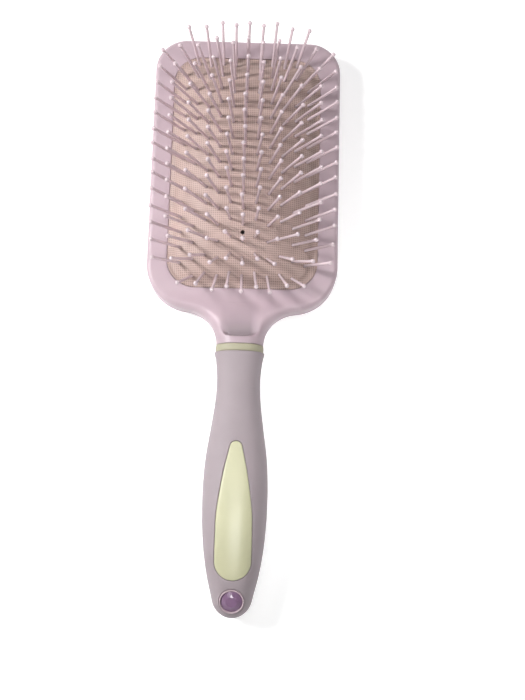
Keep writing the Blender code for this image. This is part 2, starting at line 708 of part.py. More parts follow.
def turned(name, profile, count, finish=None):
    """A solid turned about the stone's axis from (radius, height) pairs, from the top down."""
    axis = Vector((0, -math.sin(STONE_TILT), math.cos(STONE_TILT)))
    across = Vector((1, 0, 0))
    along = axis.cross(across)
    seat = Vector((0, STONE_Y, grip_top(0, STONE_Y) - STONE_SINK))
    turns = [2 * math.pi * i / count for i in range(count)]
    around = [math.cos(turn) * across + math.sin(turn) * along for turn in turns]
    sections = [[seat + height * axis + radius * way for way in around] for radius, height in profile]
    return loft(name, sections, finish)


def stone_and_bezel(stone_finish, bezel_finish):
    """The round stone in its cup-shaped bezel."""
    wall = BEZEL_RADIUS - STONE_RADIUS - GAP
    rim = [(BEZEL_RADIUS - wall / 2, BEZEL_RISE), (BEZEL_RADIUS, BEZEL_RISE / 2)]
    bezel = turned("jewel_bezel", rim + [(BEZEL_RADIUS, -BEZEL_DEPTH)], BEZEL_SIDES, bezel_finish)
    floor = BEZEL_FLOOR - BEZEL_DEPTH
    cup = [(STONE_RADIUS + GAP, SEAT_REACH), (STONE_RADIUS + GAP, floor)]
    boolean(bezel, turned("stone_cup_cutter", cup, BEZEL_SIDES), "DIFFERENCE")
    girdle = -STONE_CROWN / 2
    profile = [
        (STONE_RADIUS * STONE_TABLE, girdle + STONE_GIRDLE + STONE_CROWN),
        (STONE_RADIUS, girdle + STONE_GIRDLE),
        (STONE_RADIUS, girdle),
        (STONE_RADIUS * STONE_TABLE, floor + GAP),
    ]
    turned("end_jewel", profile, STONE_SIDES, stone_finish)


def build():
    """All the pieces of the brush."""
    for old in list(bpy.data.objects):
        bpy.data.objects.remove(old, do_unlink=True)
    lilac = material("lilac_plastic", (0.62, 0.52, 0.60), 0.3)
    rubber = material("pad_rubber", (0.50, 0.36, 0.33), 0.6)
    nylon = material("clear_nylon", (0.66, 0.60, 0.62), 0.25, transmission=0.4)
    frame = material("frame_plastic", (0.55, 0.50, 0.53), 0.45)
    accent = material("yellow_green_plastic", (0.58, 0.55, 0.33), 0.3)
    soft = material("soft_grip", (0.42, 0.34, 0.37), 0.5)
    core = material("core_plastic", (0.30, 0.27, 0.29), 0.5)
    bezel = material("bezel_plastic", (0.58, 0.47, 0.57), 0.25)
    jewel = material("purple_acrylic", (0.24, 0.10, 0.28), 0.08, transmission=0.6)
    head_shells(lilac)
    cushion_pad(rubber)
    pad_frame(frame)
    for column in range(-5, 6):
        pin_column(column, nylon)
    neck_ring(accent)
    handle_core(core)
    grip_sleeve(soft)
    inlay_solid("grip_inlay", 0.0, INLAY_DEPTH, INLAY_RISE, accent)
    stone_and_bezel(jewel, bezel)


build()
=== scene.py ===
import math
import random

import bmesh
import bpy
from mathutils import Matrix, Vector
from mathutils.geometry import delaunay_2d_cdt


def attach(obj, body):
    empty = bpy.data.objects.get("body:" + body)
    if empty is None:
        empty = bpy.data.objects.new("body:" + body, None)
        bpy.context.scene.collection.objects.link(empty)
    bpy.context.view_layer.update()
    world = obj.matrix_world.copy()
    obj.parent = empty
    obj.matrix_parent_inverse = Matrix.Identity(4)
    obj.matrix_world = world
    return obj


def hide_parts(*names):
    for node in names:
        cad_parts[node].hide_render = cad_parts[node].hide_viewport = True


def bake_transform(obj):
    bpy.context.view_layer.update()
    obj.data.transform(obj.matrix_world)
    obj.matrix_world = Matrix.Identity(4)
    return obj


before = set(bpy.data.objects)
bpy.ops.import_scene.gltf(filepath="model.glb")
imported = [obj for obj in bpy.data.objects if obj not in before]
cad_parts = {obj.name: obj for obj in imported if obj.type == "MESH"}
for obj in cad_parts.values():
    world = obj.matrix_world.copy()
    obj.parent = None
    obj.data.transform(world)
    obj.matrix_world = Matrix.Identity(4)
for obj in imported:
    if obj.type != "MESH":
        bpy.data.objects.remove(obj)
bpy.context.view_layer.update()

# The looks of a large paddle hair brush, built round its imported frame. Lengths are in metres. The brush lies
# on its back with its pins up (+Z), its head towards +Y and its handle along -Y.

GAP = 0.0003  # between pieces that touch

# The camera
CAMERA_PITCH = math.radians(-10.6)
CAMERA_LEAN = math.radians(-1.55)
CAMERA_ROLL = math.radians(0.23)
CAMERA_PLACE = (0.0094, -0.01276, 0.4372)  # in its own axes: to its side, up and back
CAMERA_LENS = 51.56

# The head's outline: a paddle with round corners that flows into a narrow neck
HEAD_HALF_WIDTH = 0.041
HEAD_END_Y = 0.125
TOP_CORNER_RADIUS = 0.014
SHOULDER_RADIUS = 0.020
NECK_HALF_WIDTH = 0.010
NECK_FLARE_RADIUS = 0.0152
NECK_END_Y = -0.0131
FLARE_X = NECK_HALF_WIDTH + NECK_FLARE_RADIUS
SHOULDER_X = HEAD_HALF_WIDTH - SHOULDER_RADIUS
FLARE_RISE = math.sqrt((SHOULDER_RADIUS + NECK_FLARE_RADIUS) ** 2 - (FLARE_X - SHOULDER_X) ** 2)
SHOULDER_Y = NECK_END_Y + FLARE_RISE
FLARE_TURN = math.degrees(math.atan2(SHOULDER_Y - NECK_END_Y, FLARE_X - SHOULDER_X))
CORNER_X = HEAD_HALF_WIDTH - TOP_CORNER_RADIUS
CORNER_Y = HEAD_END_Y - TOP_CORNER_RADIUS

# The head's heights
HEAD_THICKNESS = 0.013
NECK_TOP_Z = 0.0176
NECK_BOTTOM_Z = 0.0016
FRONT_EDGE_RADIUS = 0.002
BACK_EDGE_RADIUS = 0.0035
NECK_EDGE_RADIUS = 0.0079
HEAD_LEVEL_Y = 0.010  # where the neck's slope starts
PARTING_Z = 0.006
RING_REACH = 0.0055  # how far in the rings of mesh round the head reach
RING_SHARES = [(k / 14) ** 2 for k in range(15)]  # of that reach: the rings are closer at the rounded edge
RING_NUDGE = 0.00005  # keeps one ring apart from the last where they would meet
SEAM_INSETS = (0.0003, 0.0001, 0)  # the small rounded edge at the parting line
SEAM_STEPS = (0, 0.0001, 0.0003)  # how far from the parting line each of these lies
FRONT_SIDE_HEIGHTS = (0.0070, 0.0076, 0.0083)
NECK_FIELD = 0.030  # half the width of the neck's finer mesh
TANG_HALF_WIDTH = 0.0047
TANG_HALF_HEIGHT = 0.0037
TANG_Z = 0.0097
TANG_END_Y = 0.004

# The thumb dish on the front of the neck
DISH_HALF_WIDTH = 0.0094
DISH_START_Y = -0.0026
DISH_LENGTH = 0.0078
DISH_TOP_Y = 0.0060
DISH_DEPTH = 0.0030
DISH_POWER = 2.6  # how late the dish gets deep
DISH_SIDE = 0.5  # the share of the dish's half width in which its side fades out
DISH_EDGE = 0.14  # the share of the dish's length that its steep lower edge takes up
DISH_OVAL = 3  # the power of the dish's oval
DISH_LINES = (-0.04, -0.01, 0.01, 0.03, 0.05, 0.07, 0.10)  # shares in from its edge that the mesh follows
DISH_LINE_TURNS = (8, 172)  # degrees

# The pad and its mouth
OUTLINE_STEP = 0.0016
CORNER_STEPS = 18
PAD_CENTRE_Y = 0.0639
PAD_HALF_WIDTH = 0.032
PAD_HALF_LENGTH = 0.0523
PAD_CORNER_RADIUS = 0.012
MOUTH_LIP = 0.0016
MOUTH_EDGE = 0.0003
MOUTH_MARGIN = 0.0012
POCKET_HALF_WIDTH = 0.0375
POCKET_HALF_LENGTH = 0.0565
FLOOR_Z = 0.0026
PAD_EDGE_Z = 0.0125
PAD_CROWN = 0.0115
CROWN_POWER_X = 2.5
CROWN_POWER_Y = 3.8
PAD_THICKNESS = 0.0015
PAD_STEP_INSET = 0.0032
PAD_STEP_RUN = (-0.0006, 0.0003)  # the step's start and end, from its inset
PAD_STEP = 0.0005
PAD_EDGE_RUN = 0.0014
PAD_EDGE_RISE = 0.0007
PAD_SIDES = 12  # round each hole
PAD_PITCH = 0.0010
FLANGE_REACH = 0.0033
FLANGE_TOP_Z = HEAD_THICKNESS - MOUTH_LIP - GAP
FLANGE_BOTTOM_Z = FLANGE_TOP_Z - PAD_THICKNESS
VENT_RADIUS = 0.0008
# How the pad's surface rises round a hole: how far out from the hole's edge, and how high
VENT_COLLAR = ((0.0005, 0), (0.0003, -0.00002), (0.0001, -0.0001), (0, -0.0003))
PIN_COLLAR = (
    (0.0006, 0), (0.0004, 0.00006), (0.0001, 0.00014), (-0.0001, 0.00015), (-0.0003, 0.0001), (-0.00038, 0),
)

# The pins. Their spans and splays are given for each column, from the middle one out
COLUMN_PITCH = 0.00535
COLUMNS = range(-5, 6)
PINS_PER_COLUMN = (15, 14)  # by turns
COLUMN_HALF_SPAN = (0.0478, 0.0466, 0.0480, 0.0470, 0.0482, 0.0425)
SPLAY = (1.2, 1.2, 1.2, 1.2, 1.17, 0.97)  # how far a pin leans sideways, beside the pad's own slope
SPLAY_FADE = (1.0, 1.0, 1.0, 1.0, 0.7, 0.4)  # less than 1 keeps up the lean towards a column's ends
SKEW = 0.04
PIN_LENGTH = 0.0204
PIN_SIDES = 12
PIN_ROOT_RADIUS = 0.00065
PIN_FOOT = ((0.0001, 0.0002), (0.0004, 0))  # how the root widens at its head: how far up, and how much
PIN_NECK_RADIUS = 0.00060
BALL_RADIUS = 0.00095
BALL_TURNS = (-52, -36, -18, 0, 18, 36, 54, 72)  # degrees
BALL_WAIST = 0.93  # how far below the ball's middle the neck ends, as a share of the ball's radius
PIN_HOLE_RADIUS = 0.00108
PIN_HEAD_RADIUS = 0.0012
PIN_HEAD_DEPTH = 0.0019
PIN_HEAD_THICKNESS = 0.0006
PIN_WANDER = 0.018  # how far, as a slope, one pin stands off its rule

# The grip, from its neck end to its round end
SECTION_POWER = 2.3
RING_LENGTH = 0.0027
RING_CROWN = 0.00015
RING_EDGE = 0.0002
RING_SWELL = 0.00018  # how much the ring stands out at each end into its gap
GRIP_START_Y = NECK_END_Y - GAP - RING_LENGTH - GAP
GRIP_END_Y = -0.125
GRIP_END_ROUND = 0.007
GRIP_HALF_WIDTHS = (
    (GRIP_START_Y, 0.0106), (-0.0200, 0.0098), (-0.0280, 0.0091), (-0.0370, 0.0095), (-0.0480, 0.0109),
    (-0.0600, 0.0126), (-0.0700, 0.0133), (-0.0800, 0.0134), (-0.0900, 0.0130), (-0.1000, 0.0120),
    (-0.1090, 0.0104), (-0.1150, 0.0089), (-0.1190, 0.0080), (GRIP_END_Y, 0.0072),
)
GRIP_HALF_HEIGHTS = (
    (GRIP_START_Y, 0.0081), (-0.0200, 0.0078), (-0.0280, 0.0077), (-0.0450, 0.0088), (-0.0620, 0.0100),
    (-0.0800, 0.0104), (-0.0980, 0.0101), (-0.1100, 0.0091), (-0.1180, 0.0080), (GRIP_END_Y, 0.0070),
)
GRIP_CENTRES = (
    (GRIP_START_Y, 0.0097), (-0.0450, 0.0100), (-0.0800, 0.0105), (-0.1000, 0.0103),
    (GRIP_END_Y, 0.0094),
)
SLEEVE_THICKNESS = 0.0020
SLEEVE_LIP = 0.0002
CORE_END_Y = -0.1110
GRIP_SIDES = 80
GRIP_FRONT_SIDES = range(5, 35)  # the sides of the grip's front, where the inlay and the stone are let in
GRIP_STEP = 0.0008

# The inlay, a teardrop with its narrow end towards the neck
INLAY_HALF_WIDTH = 0.0074
INLAY_TIP_Y = -0.0543
INLAY_TIP_RADIUS = 0.0025
INLAY_TIP_TURN = 12  # degrees, where the round tip runs into the side
INLAY_ROUND_Y = -0.1024
INLAY_HALF_WIDTHS = (
    (-0.0563, 0.00244), (-0.0673, 0.00485), (-0.0825, 0.00710), (-0.0920, INLAY_HALF_WIDTH),
    (INLAY_ROUND_Y, INLAY_HALF_WIDTH),
)
INLAY_DEPTH = 0.0011
INLAY_RISE = 0.00015
INLAY_EDGE = 0.00035
INLAY_MARGIN = 0.0009
INLAY_PITCH = 0.0008
GROOVE_MARGIN = 0.0008
GROOVE_PITCH = 0.0014

# The stone and its bezel
STONE_Y = -0.1181
STONE_TILT = math.radians(20)
STONE_SINK = 0.0012
STONE_RADIUS = 0.0041
STONE_FACETS = 10
STONE_GIRDLE = 0.0004
STONE_CROWN = 0.0010
STONE_SHARES = (0.50, 0.76, 0.45)  # the radius of the table, of the kites' middles and of the foot
STONE_STAR = 0.48  # the share of the crown that the star facets take up
STONE_SWELL = 0.0002  # how much the stone stands out into its gap
BEZEL_RADIUS = 0.0050
BEZEL_DEPTH = 0.0030
BEZEL_RISE = 0.0005
BEZEL_FLOOR = 0.0006
BEZEL_EDGE = 0.0002
TURNED_SIDES = 72

# How the edge of a seat in the grip rounds down: how far out from the seat, and how deep
SEAT_GAP = 0.00012
SEAT_LIP = ((0.0006, 0.0), (0.0004, 0.00002), (0.00026, 0.00008), (0.00017, 0.0002))
SEAT_MARGIN = SEAT_LIP[0][0] + 0.0003

# Finishes
LILAC = (0.43, 0.33, 0.367)
YELLOW_GREEN = (0.445, 0.435, 0.285)
RING_GREEN = (0.305, 0.287, 0.2)
NYLON = (0.82, 0.69, 0.73)
SOFT_GRIP = (0.272, 0.228, 0.244)
RUBBER = (0.402, 0.29, 0.26)
PURPLE = (0.32, 0.195, 0.32)
CORE_GREY = (0.30, 0.27, 0.29)
FRAME_GREY = (0.55, 0.50, 0.53)
WEAVE_PITCH = 0.0009
WEAVE_SHARES = (0.68, 1.12)  # how light the weave's hollows and threads are, beside the rubber's colour
DISH_PAINTED_SHADE = 0.50  # how dark the painted shade makes the lowest part of the thumb dish, beside what lies round it
NECK_PAINTED_SHADE = 0.83  # how dark the painted shade makes the neck, beside the rest of the head
PIN_SEED = 11

# The stage: the floor's radius and height, out to where it curves up, and the strength of the lights
FLOOR_PROFILE = (
    (0.5, 0), (2.2, 0), (2.6, 0.03), (2.85, 0.1), (3.0, 0.25), (3.1, 0.5), (3.15, 0.9), (3.2, 1.6),
)
FLOOR_WHITE = 0.80
FLOOR_GLOW = 0.45
WORLD_STRENGTH = 0.03
KEY_POWER = 4.5
SECOND_POWER = 0.5
OVERHEAD_POWER = 2.4
FRONT_POWER = 0.034


class Solid:
    """The points and faces of one closed piece while it is being made."""

    def __init__(self):
        self.points = []
        self.faces = []

    def loop(self, points):
        """Adds points and gives their indices."""
        start = len(self.points)
        self.points += [Vector(p) for p in points]
        return list(range(start, len(self.points)))

    def bridge(self, *loops, closed=True):
        """Joins loops of the same count, each to the next, with quads."""
        for one, other in zip(loops, loops[1:]):
            count = len(one)
            for i in range(count if closed else count - 1):
                j = (i + 1) % count
                self.faces.append((one[i], one[j], other[j], other[i]))

    def fill(self, loops, spots=(), lift=None):
        """Fills the space inside the first loop and outside the others, through spots at lift's heights."""
        owners = [i for loop in loops for i in loop]
        flat = [self.points[i].xy for i in owners] + [Vector(s) for s in spots]
        owners += self.loop([(x, y, lift(x, y)) for x, y in spots])
        borders, hole_of, at = [], {}, 0
        for k, loop in enumerate(loops):
            count = len(loop)
            borders += [(at + i, at + (i + 1) % count) for i in range(count)]
            hole_of.update({at + i: k for i in range(count) if k})
            at += count
        _, _, triangles, came_from, _, _ = delaunay_2d_cdt(flat, borders, [], 1, 1e-8)
        for triangle in triangles:
            corners = [came_from[i][0] for i in triangle]
            holes = {hole_of.get(i) for i in corners}
            if len(holes) == 1 and None not in holes:
                middle = sum((flat[i] for i in corners), Vector((0, 0))) / 3
                if inside([self.points[i].xy for i in loops[holes.pop()]], middle):
                    continue
            self.faces.append(tuple(owners[i] for i in corners))

    def mesh(self, name):
        """The mesh, with its faces turned outwards."""
        made = bpy.data.meshes.new(name)
        made.from_pydata(self.points, [], self.faces)
        shape = bmesh.new()
        shape.from_mesh(made)
        unused = [vertex for vertex in shape.verts if not vertex.link_faces]
        bmesh.ops.delete(shape, geom=unused, context="VERTS")
        bmesh.ops.recalc_face_normals(shape, faces=shape.faces[:])
        shape.to_mesh(made)
        shape.free()
        return made


def inside(outline, point):
    """True if a point is inside an outline in the plane."""
    found = False
    for a, b in zip(outline, outline[1:] + outline[:1]):
        if (a.y > point.y) != (b.y > point.y):
            if point.x < a.x + (b.x - a.x) * (point.y - a.y) / (b.y - a.y):
                found = not found
    return found


def smooth_step(start, end, at):
    """0 before start, 1 after end, and smooth between them."""
    t = min(max((at - start) / (end - start), 0), 1)
    return t * t * (3 - 2 * t)


def through(keys, at):
    """The value at a place on the smooth curve through (place, value) keys, which are in falling order."""
    for i in range(len(keys) - 1):
        if at >= keys[i + 1][0] or i == len(keys) - 2:
            break
    (a, va), (b, vb) = keys[i], keys[i + 1]
    before = keys[max(i - 1, 0)]
    after = keys[min(i + 2, len(keys) - 1)]
    slope_a = (vb - before[1]) / (b - before[0])
    slope_b = (after[1] - va) / (after[0] - a)
    t, step = (at - a) / (b - a), b - a
    return (
        (1 + 2 * t) * (1 - t) ** 2 * va
        + t * t * (3 - 2 * t) * vb
        + step * (t * (1 - t) ** 2 * slope_a - t * t * (1 - t) * slope_b)
    )


def arc(centre, radius, start, end, steps):
    """Points on an arc, from one angle in degrees to another."""
    angles = [math.radians(start + (end - start) * i / steps) for i in range(steps + 1)]
    return [(centre[0] + radius * math.cos(a), centre[1] + radius * math.sin(a)) for a in angles]


def rounding(radius, *turns):
    """How far places on a quarter or half of a circle are from where it ends and from where it starts."""
    angles = [math.radians(turn) for turn in turns]
    return [(radius * (1 - math.sin(a)), radius * (1 - math.cos(a))) for a in angles]


def circle(centre, across, along, radius, count, turn=0.0):
    """Points round a circle in the plane of two directions."""
    turns = [2 * math.pi * (i + turn) / count for i in range(count)]
    return [centre + radius * (math.cos(t) * across + math.sin(t) * along) for t in turns]


def grid(low, high, pitch, keep):
    """Places on a staggered grid between two corners, where keep says so."""
    rows = int((high[1] - low[1]) / pitch)
    columns = int((high[0] - low[0]) / pitch)
    found = []
    for j in range(rows + 1):
        for i in range(columns + 1):
            x = low[0] + (i + 0.5 * (j % 2)) * pitch
            y = low[1] + j * pitch
            if keep(x, y):
                found.append((x, y))
    return found


# The head


def half_outline(inset):
    """The right half of the head's outline, moved in by inset, from the neck's end to the top's middle."""
    flare = arc((FLARE_X, NECK_END_Y), NECK_FLARE_RADIUS + inset, 180, 180 - FLARE_TURN, 36)
    shoulder = arc((SHOULDER_X, SHOULDER_Y), SHOULDER_RADIUS - inset, -FLARE_TURN, 0, 30)
    side = [(HEAD_HALF_WIDTH - inset, SHOULDER_Y + (CORNER_Y - SHOULDER_Y) * i / 36) for i in range(1, 36)]
    corner = arc((CORNER_X, CORNER_Y), TOP_CORNER_RADIUS - inset, 0, 90, 24)
    top = [(CORNER_X * (1 - i / 12), HEAD_END_Y - inset) for i in range(1, 12)]
    return flare + shoulder[1:] + side + corner + top


def head_ring(inset, height):
    """A ring round the head, at the insets inset(y) gives and the heights height(inset, x, y) gives."""
    half = []
    for (x, y), (inner_x, inner_y) in zip(half_outline(0), half_outline(RING_REACH)):
        found = inset(y)
        share = found / RING_REACH
        half.append((found, x + (inner_x - x) * share, y + (inner_y - y) * share))
    outline = half + [(found, -x, y) for found, x, y in reversed(half)]
    return [(x, y, height(found, x, y)) for found, x, y in outline]


def head_gap(x, y):
    """How far a point is in from the head's outline."""
    x = abs(x)
    found = [HEAD_HALF_WIDTH]
    flare = math.degrees(math.atan2(y - NECK_END_Y, x - FLARE_X))
    if 180 - FLARE_TURN <= flare <= 180:
        found.append(math.hypot(x - FLARE_X, y - NECK_END_Y) - NECK_FLARE_RADIUS)
    shoulder = math.degrees(math.atan2(y - SHOULDER_Y, x - SHOULDER_X))
    if -FLARE_TURN <= shoulder <= 0:
        found.append(SHOULDER_RADIUS - math.hypot(x - SHOULDER_X, y - SHOULDER_Y))
    if SHOULDER_Y <= y <= CORNER_Y:
        found.append(HEAD_HALF_WIDTH - x)
    if y >= CORNER_Y:
        round_gap = TOP_CORNER_RADIUS - math.hypot(x - CORNER_X, y - CORNER_Y)
        found.append(HEAD_END_Y - y if x < CORNER_X else round_gap)
    return min(found)


def edge_drop(inset, radius):
    """How far a rounded edge lies below the face beside it, at a distance in from the outline."""
    if inset >= radius:
        return 0
    return radius - math.sqrt(radius**2 - (radius - inset) ** 2)


def neck_share(y):
    """0 on the head, rising to 1 at the neck's end."""
    return 1 - smooth_step(NECK_END_Y, HEAD_LEVEL_Y, y)


def dish_depth(x, y):
    """The depth of the thumb dish, which slopes down from the head to a crisp edge by the neck's end."""
    slope = min(max((DISH_TOP_Y - y) / (DISH_TOP_Y - DISH_START_Y + DISH_LENGTH), 0), 1)
    side = smooth_step(0, DISH_SIDE, 1 - abs(x) / DISH_HALF_WIDTH)
    return DISH_DEPTH * slope**DISH_POWER * side * smooth_step(0, DISH_EDGE, dish_share(x, y))


def dish_share(x, y):
    """How far a point is inside the dish's edge: 0 at the edge, 1 in the middle."""
    below = max(DISH_START_Y - y, 0) / DISH_LENGTH
    return 1 - ((abs(x) / DISH_HALF_WIDTH) ** DISH_OVAL + below**DISH_OVAL) ** (1 / DISH_OVAL)


def dish_line(share):
    """Places along the lower edge of the dish, at a share of its size in from the edge."""
    found = []
    start, end = DISH_LINE_TURNS
    for i in range(91):
        turn = math.radians(start + (end - start) * i / 90)
        c, down = math.cos(turn), math.sin(turn) ** (2 / DISH_OVAL)
        x = math.copysign(abs(c) ** (2 / DISH_OVAL), c) * DISH_HALF_WIDTH * (1 - share)
        found.append((x, DISH_START_Y - DISH_LENGTH * (1 - share) * down))
    return found


def front_z(inset, x, y):
    """The height of the head's front."""
    neck = neck_share(y)
    top = HEAD_THICKNESS + (NECK_TOP_Z - HEAD_THICKNESS) * neck
    radius = FRONT_EDGE_RADIUS + (NECK_EDGE_RADIUS - FRONT_EDGE_RADIUS) * neck
    return top - edge_drop(inset, radius) - dish_depth(x, y)


def back_edge(y):
    """The height of the head's back, and the radius of its rounded edge."""
    neck = neck_share(y)
    return NECK_BOTTOM_Z * neck, BACK_EDGE_RADIUS + (NECK_EDGE_RADIUS - 2 * GAP - BACK_EDGE_RADIUS) * neck


def back_z(inset, x, y):
    """The height of the head's back."""
    low, radius = back_edge(y)
    return low + edge_drop(inset, radius)


def side_inset(y, z):
    """How far in the head's side is at a height, where its rounded back edge reaches above that height."""
    low, radius = back_edge(y)
    return edge_drop(max(z - low, 0), radius)


def side_rings(solid, heights):
    """Rings up or down the head's side, from the parting line."""
    insets = SEAM_INSETS + (0,) * (len(heights) - len(SEAM_INSETS))
    return [
        solid.loop(head_ring(lambda y: inset + side_inset(y, z), lambda found, x, y: z))
        for inset, z in zip(insets, heights)
    ]


def rounded_rectangle(half_width, half_length, radius, z=0.0):
    """A loop round a rounded rectangle about the pad's centre. All such loops have the same count."""
    outline = []
    sides = [half - PAD_CORNER_RADIUS for half in (PAD_HALF_WIDTH, PAD_HALF_LENGTH)]
    corners = []
    for turn, (sx, sy) in enumerate(((1, 1), (-1, 1), (-1, -1), (1, -1))):
        centre = (sx * (half_width - radius), PAD_CENTRE_Y + sy * (half_length - radius))
        corners.append(arc(centre, radius, 90 * turn, 90 * turn + 90, CORNER_STEPS))
    for turn in range(4):
        start, end = corners[turn][-1], corners[(turn + 1) % 4][0]
        count = round(2 * sides[turn % 2] / OUTLINE_STEP)
        outline += corners[turn]
        for i in range(1, count):
            share = i / count
            outline.append((start[0] + (end[0] - start[0]) * share, start[1] + (end[1] - start[1]) * share))
    return [(x, y, z) for x, y in outline]


def mouth_loop(grow, z):
    """A loop round the mouth, moved out by grow."""
    out = GAP + grow
    return rounded_rectangle(PAD_HALF_WIDTH + out, PAD_HALF_LENGTH + out, PAD_CORNER_RADIUS + out, z)


def pocket_loop(solid, z):
    """A loop round the space behind the pad."""
    return solid.loop(rounded_rectangle(POCKET_HALF_WIDTH, POCKET_HALF_LENGTH, PAD_CORNER_RADIUS, z))


def pad_gap(x, y):
    """How far a point is in from the pad's edge."""
    a = abs(x) - (PAD_HALF_WIDTH - PAD_CORNER_RADIUS)
    b = abs(y - PAD_CENTRE_Y) - (PAD_HALF_LENGTH - PAD_CORNER_RADIUS)
    return PAD_CORNER_RADIUS - min(max(a, b), 0) - math.hypot(max(a, 0), max(b, 0))


def inset_below(y, z, share):
    """An inset at a share of the way from just inside the head's side at a height to the rings' reach."""
    start = side_inset(y, z) + RING_NUDGE
    return start + (RING_REACH - start) * share


def head_face(solid, ring, height, holes=()):
    """Fills one face of the head from its innermost ring in."""
    xs = [(NECK_HALF_WIDTH - RING_REACH) * (2 * i / 12 - 1) for i in range(1, 12)]  # along the neck's end
    end = solid.loop([(x, NECK_END_Y, height(NECK_HALF_WIDTH - abs(x), x, NECK_END_Y)) for x in xs])
    solid.faces.append(tuple([ring[-1]] + end + [ring[0]]))
    fine, coarse = 0.0006, 0.0016

    def lift(x, y):
        return height(head_gap(x, y), x, y)

    def near_neck(x, y):
        edge = y < DISH_START_Y - fine and -DISH_EDGE < dish_share(x, y) < 2 * DISH_EDGE
        return not edge and y > NECK_END_Y + fine / 2 and head_gap(x, y) > RING_REACH + fine / 2

    def on_head(x, y):
        clear = not holes or pad_gap(x, y) < -GAP - MOUTH_MARGIN
        return clear and head_gap(x, y) > RING_REACH + coarse / 2

    spots = grid((-NECK_FIELD, NECK_END_Y), (NECK_FIELD, HEAD_LEVEL_Y), fine, near_neck)
    for share in DISH_LINES:
        spots += [(x, y) for x, y in dish_line(share) if head_gap(x, y) > RING_REACH + fine / 4]
    low, high = (-HEAD_HALF_WIDTH, HEAD_LEVEL_Y + coarse / 2), (HEAD_HALF_WIDTH, HEAD_END_Y)
    spots += grid(low, high, coarse, on_head)
    solid.fill([ring + end, *holes], spots, lift)


def cut_tang_channel(made):
    """Cuts the channel that holds the core's tang."""
    low = Vector((-TANG_HALF_WIDTH - GAP, NECK_END_Y - TANG_HALF_WIDTH, TANG_Z - TANG_HALF_HEIGHT - GAP))
    high = Vector((TANG_HALF_WIDTH + GAP, TANG_END_Y + GAP, TANG_Z + TANG_HALF_HEIGHT + GAP))
    shape = bmesh.new()
    bmesh.ops.create_cube(shape, size=1)
    for vertex in shape.verts:
        vertex.co = Vector([low[i] if vertex.co[i] < 0 else high[i] for i in range(3)])
    mesh = bpy.data.meshes.new("channel_cutter")
    shape.to_mesh(mesh)
    shape.free()
    cutter = added("channel_cutter", mesh)
    change = made.modifiers.new("channel", "BOOLEAN")
    change.operation = "DIFFERENCE"
    change.solver = "EXACT"
    change.object = cutter
    bpy.context.view_layer.update()
    cut = bpy.data.meshes.new_from_object(made.evaluated_get(bpy.context.evaluated_depsgraph_get()))
    made.modifiers.clear()
    made.data = cut
    bpy.data.objects.remove(cutter)


def head_front(finish):
    """The front shell: rounded edge, neck with its dish, and the lip of the mouth over the pocket."""
    solid = Solid()
    parting = PARTING_Z + GAP / 2
    rings = side_rings(solid, [parting + step for step in SEAM_STEPS] + list(FRONT_SIDE_HEIGHTS))
    for share in RING_SHARES:
        rings.append(solid.loop(head_ring(lambda y: RING_REACH * share, front_z)))
    solid.bridge(*rings)
    edge = rounding(MOUTH_EDGE, 0, 25, 50, 75, 90)
    mouth = [solid.loop(mouth_loop(grow, HEAD_THICKNESS - drop)) for grow, drop in edge]
    head_face(solid, rings[-1], front_z, [mouth[0]])
    under = HEAD_THICKNESS - MOUTH_LIP
    mouth.append(solid.loop(mouth_loop(0, under)))
    mouth += [pocket_loop(solid, z) for z in (under, parting)]
    solid.bridge(*mouth)
    solid.fill([rings[0], mouth[-1]])
    cut_tang_channel(piece("head_front", solid, finish, "root", "lilac_shell", "head_front_shell"))


def head_back(finish):
    """The back shell: a shallow tray with a rounded edge."""
    solid = Solid()
    parting = PARTING_Z - GAP / 2
    low = parting - SEAM_STEPS[-1]
    rings = side_rings(solid, [parting - step for step in SEAM_STEPS])
    for share in RING_SHARES:
        rings.append(solid.loop(head_ring(lambda y: inset_below(y, low, share), back_z)))
    solid.bridge(*rings)
    head_face(solid, rings[-1], back_z)
    pocket = [pocket_loop(solid, z) for z in (parting, FLOOR_Z)]
    solid.bridge(*pocket)
    solid.fill([rings[0], pocket[0]])
    solid.fill([pocket[1]])
    cut_tang_channel(piece("head_back", solid, finish, "root", "lilac_shell", "head_back_shell"))


# The pad and the pins


def crown(x, y):
    """The pad's height above its edge and its fall along X and Y, at a point from the pad's centre."""
    u, v = min(abs(x) / PAD_HALF_WIDTH, 1), min(abs(y) / PAD_HALF_LENGTH, 1)
    across, along = 1 - u**CROWN_POWER_X, 1 - v**CROWN_POWER_Y
    fall_x = PAD_CROWN * CROWN_POWER_X * u ** (CROWN_POWER_X - 1) / PAD_HALF_WIDTH * along
    fall_y = PAD_CROWN * CROWN_POWER_Y * v ** (CROWN_POWER_Y - 1) / PAD_HALF_LENGTH * across
    return PAD_CROWN * across * along, math.copysign(fall_x, x), math.copysign(fall_y, y)


def pad_point(x, y):
    """A point on the pad's surface, from its place beside the pad's centre."""
    return Vector((x, PAD_CENTRE_Y + y, PAD_EDGE_Z + crown(x, y)[0]))


def pin_direction(column, x, y):
    """The way a pin of a column points."""
    _, fall_x, fall_y = crown(x, y)
    fade = (1 - min(abs(y) / PAD_HALF_LENGTH, 1) ** CROWN_POWER_Y) ** (SPLAY_FADE[abs(column)] - 1)
    return Vector((SPLAY[abs(column)] * fade * fall_x + SKEW * abs(fall_y), fall_y, 1)).normalized()


def pad_z(x, y):
    """The height of the pad's surface, with a soft step all round, just in from the edge."""
    start, end = [PAD_STEP_INSET + at for at in PAD_STEP_RUN]
    step = 1 - smooth_step(start, end, pad_gap(x, y))
    edge = 1 - smooth_step(0, PAD_EDGE_RUN, pad_gap(x, y))
    return pad_point(x, y - PAD_CENTRE_Y).z - PAD_STEP * step + PAD_EDGE_RISE * edge


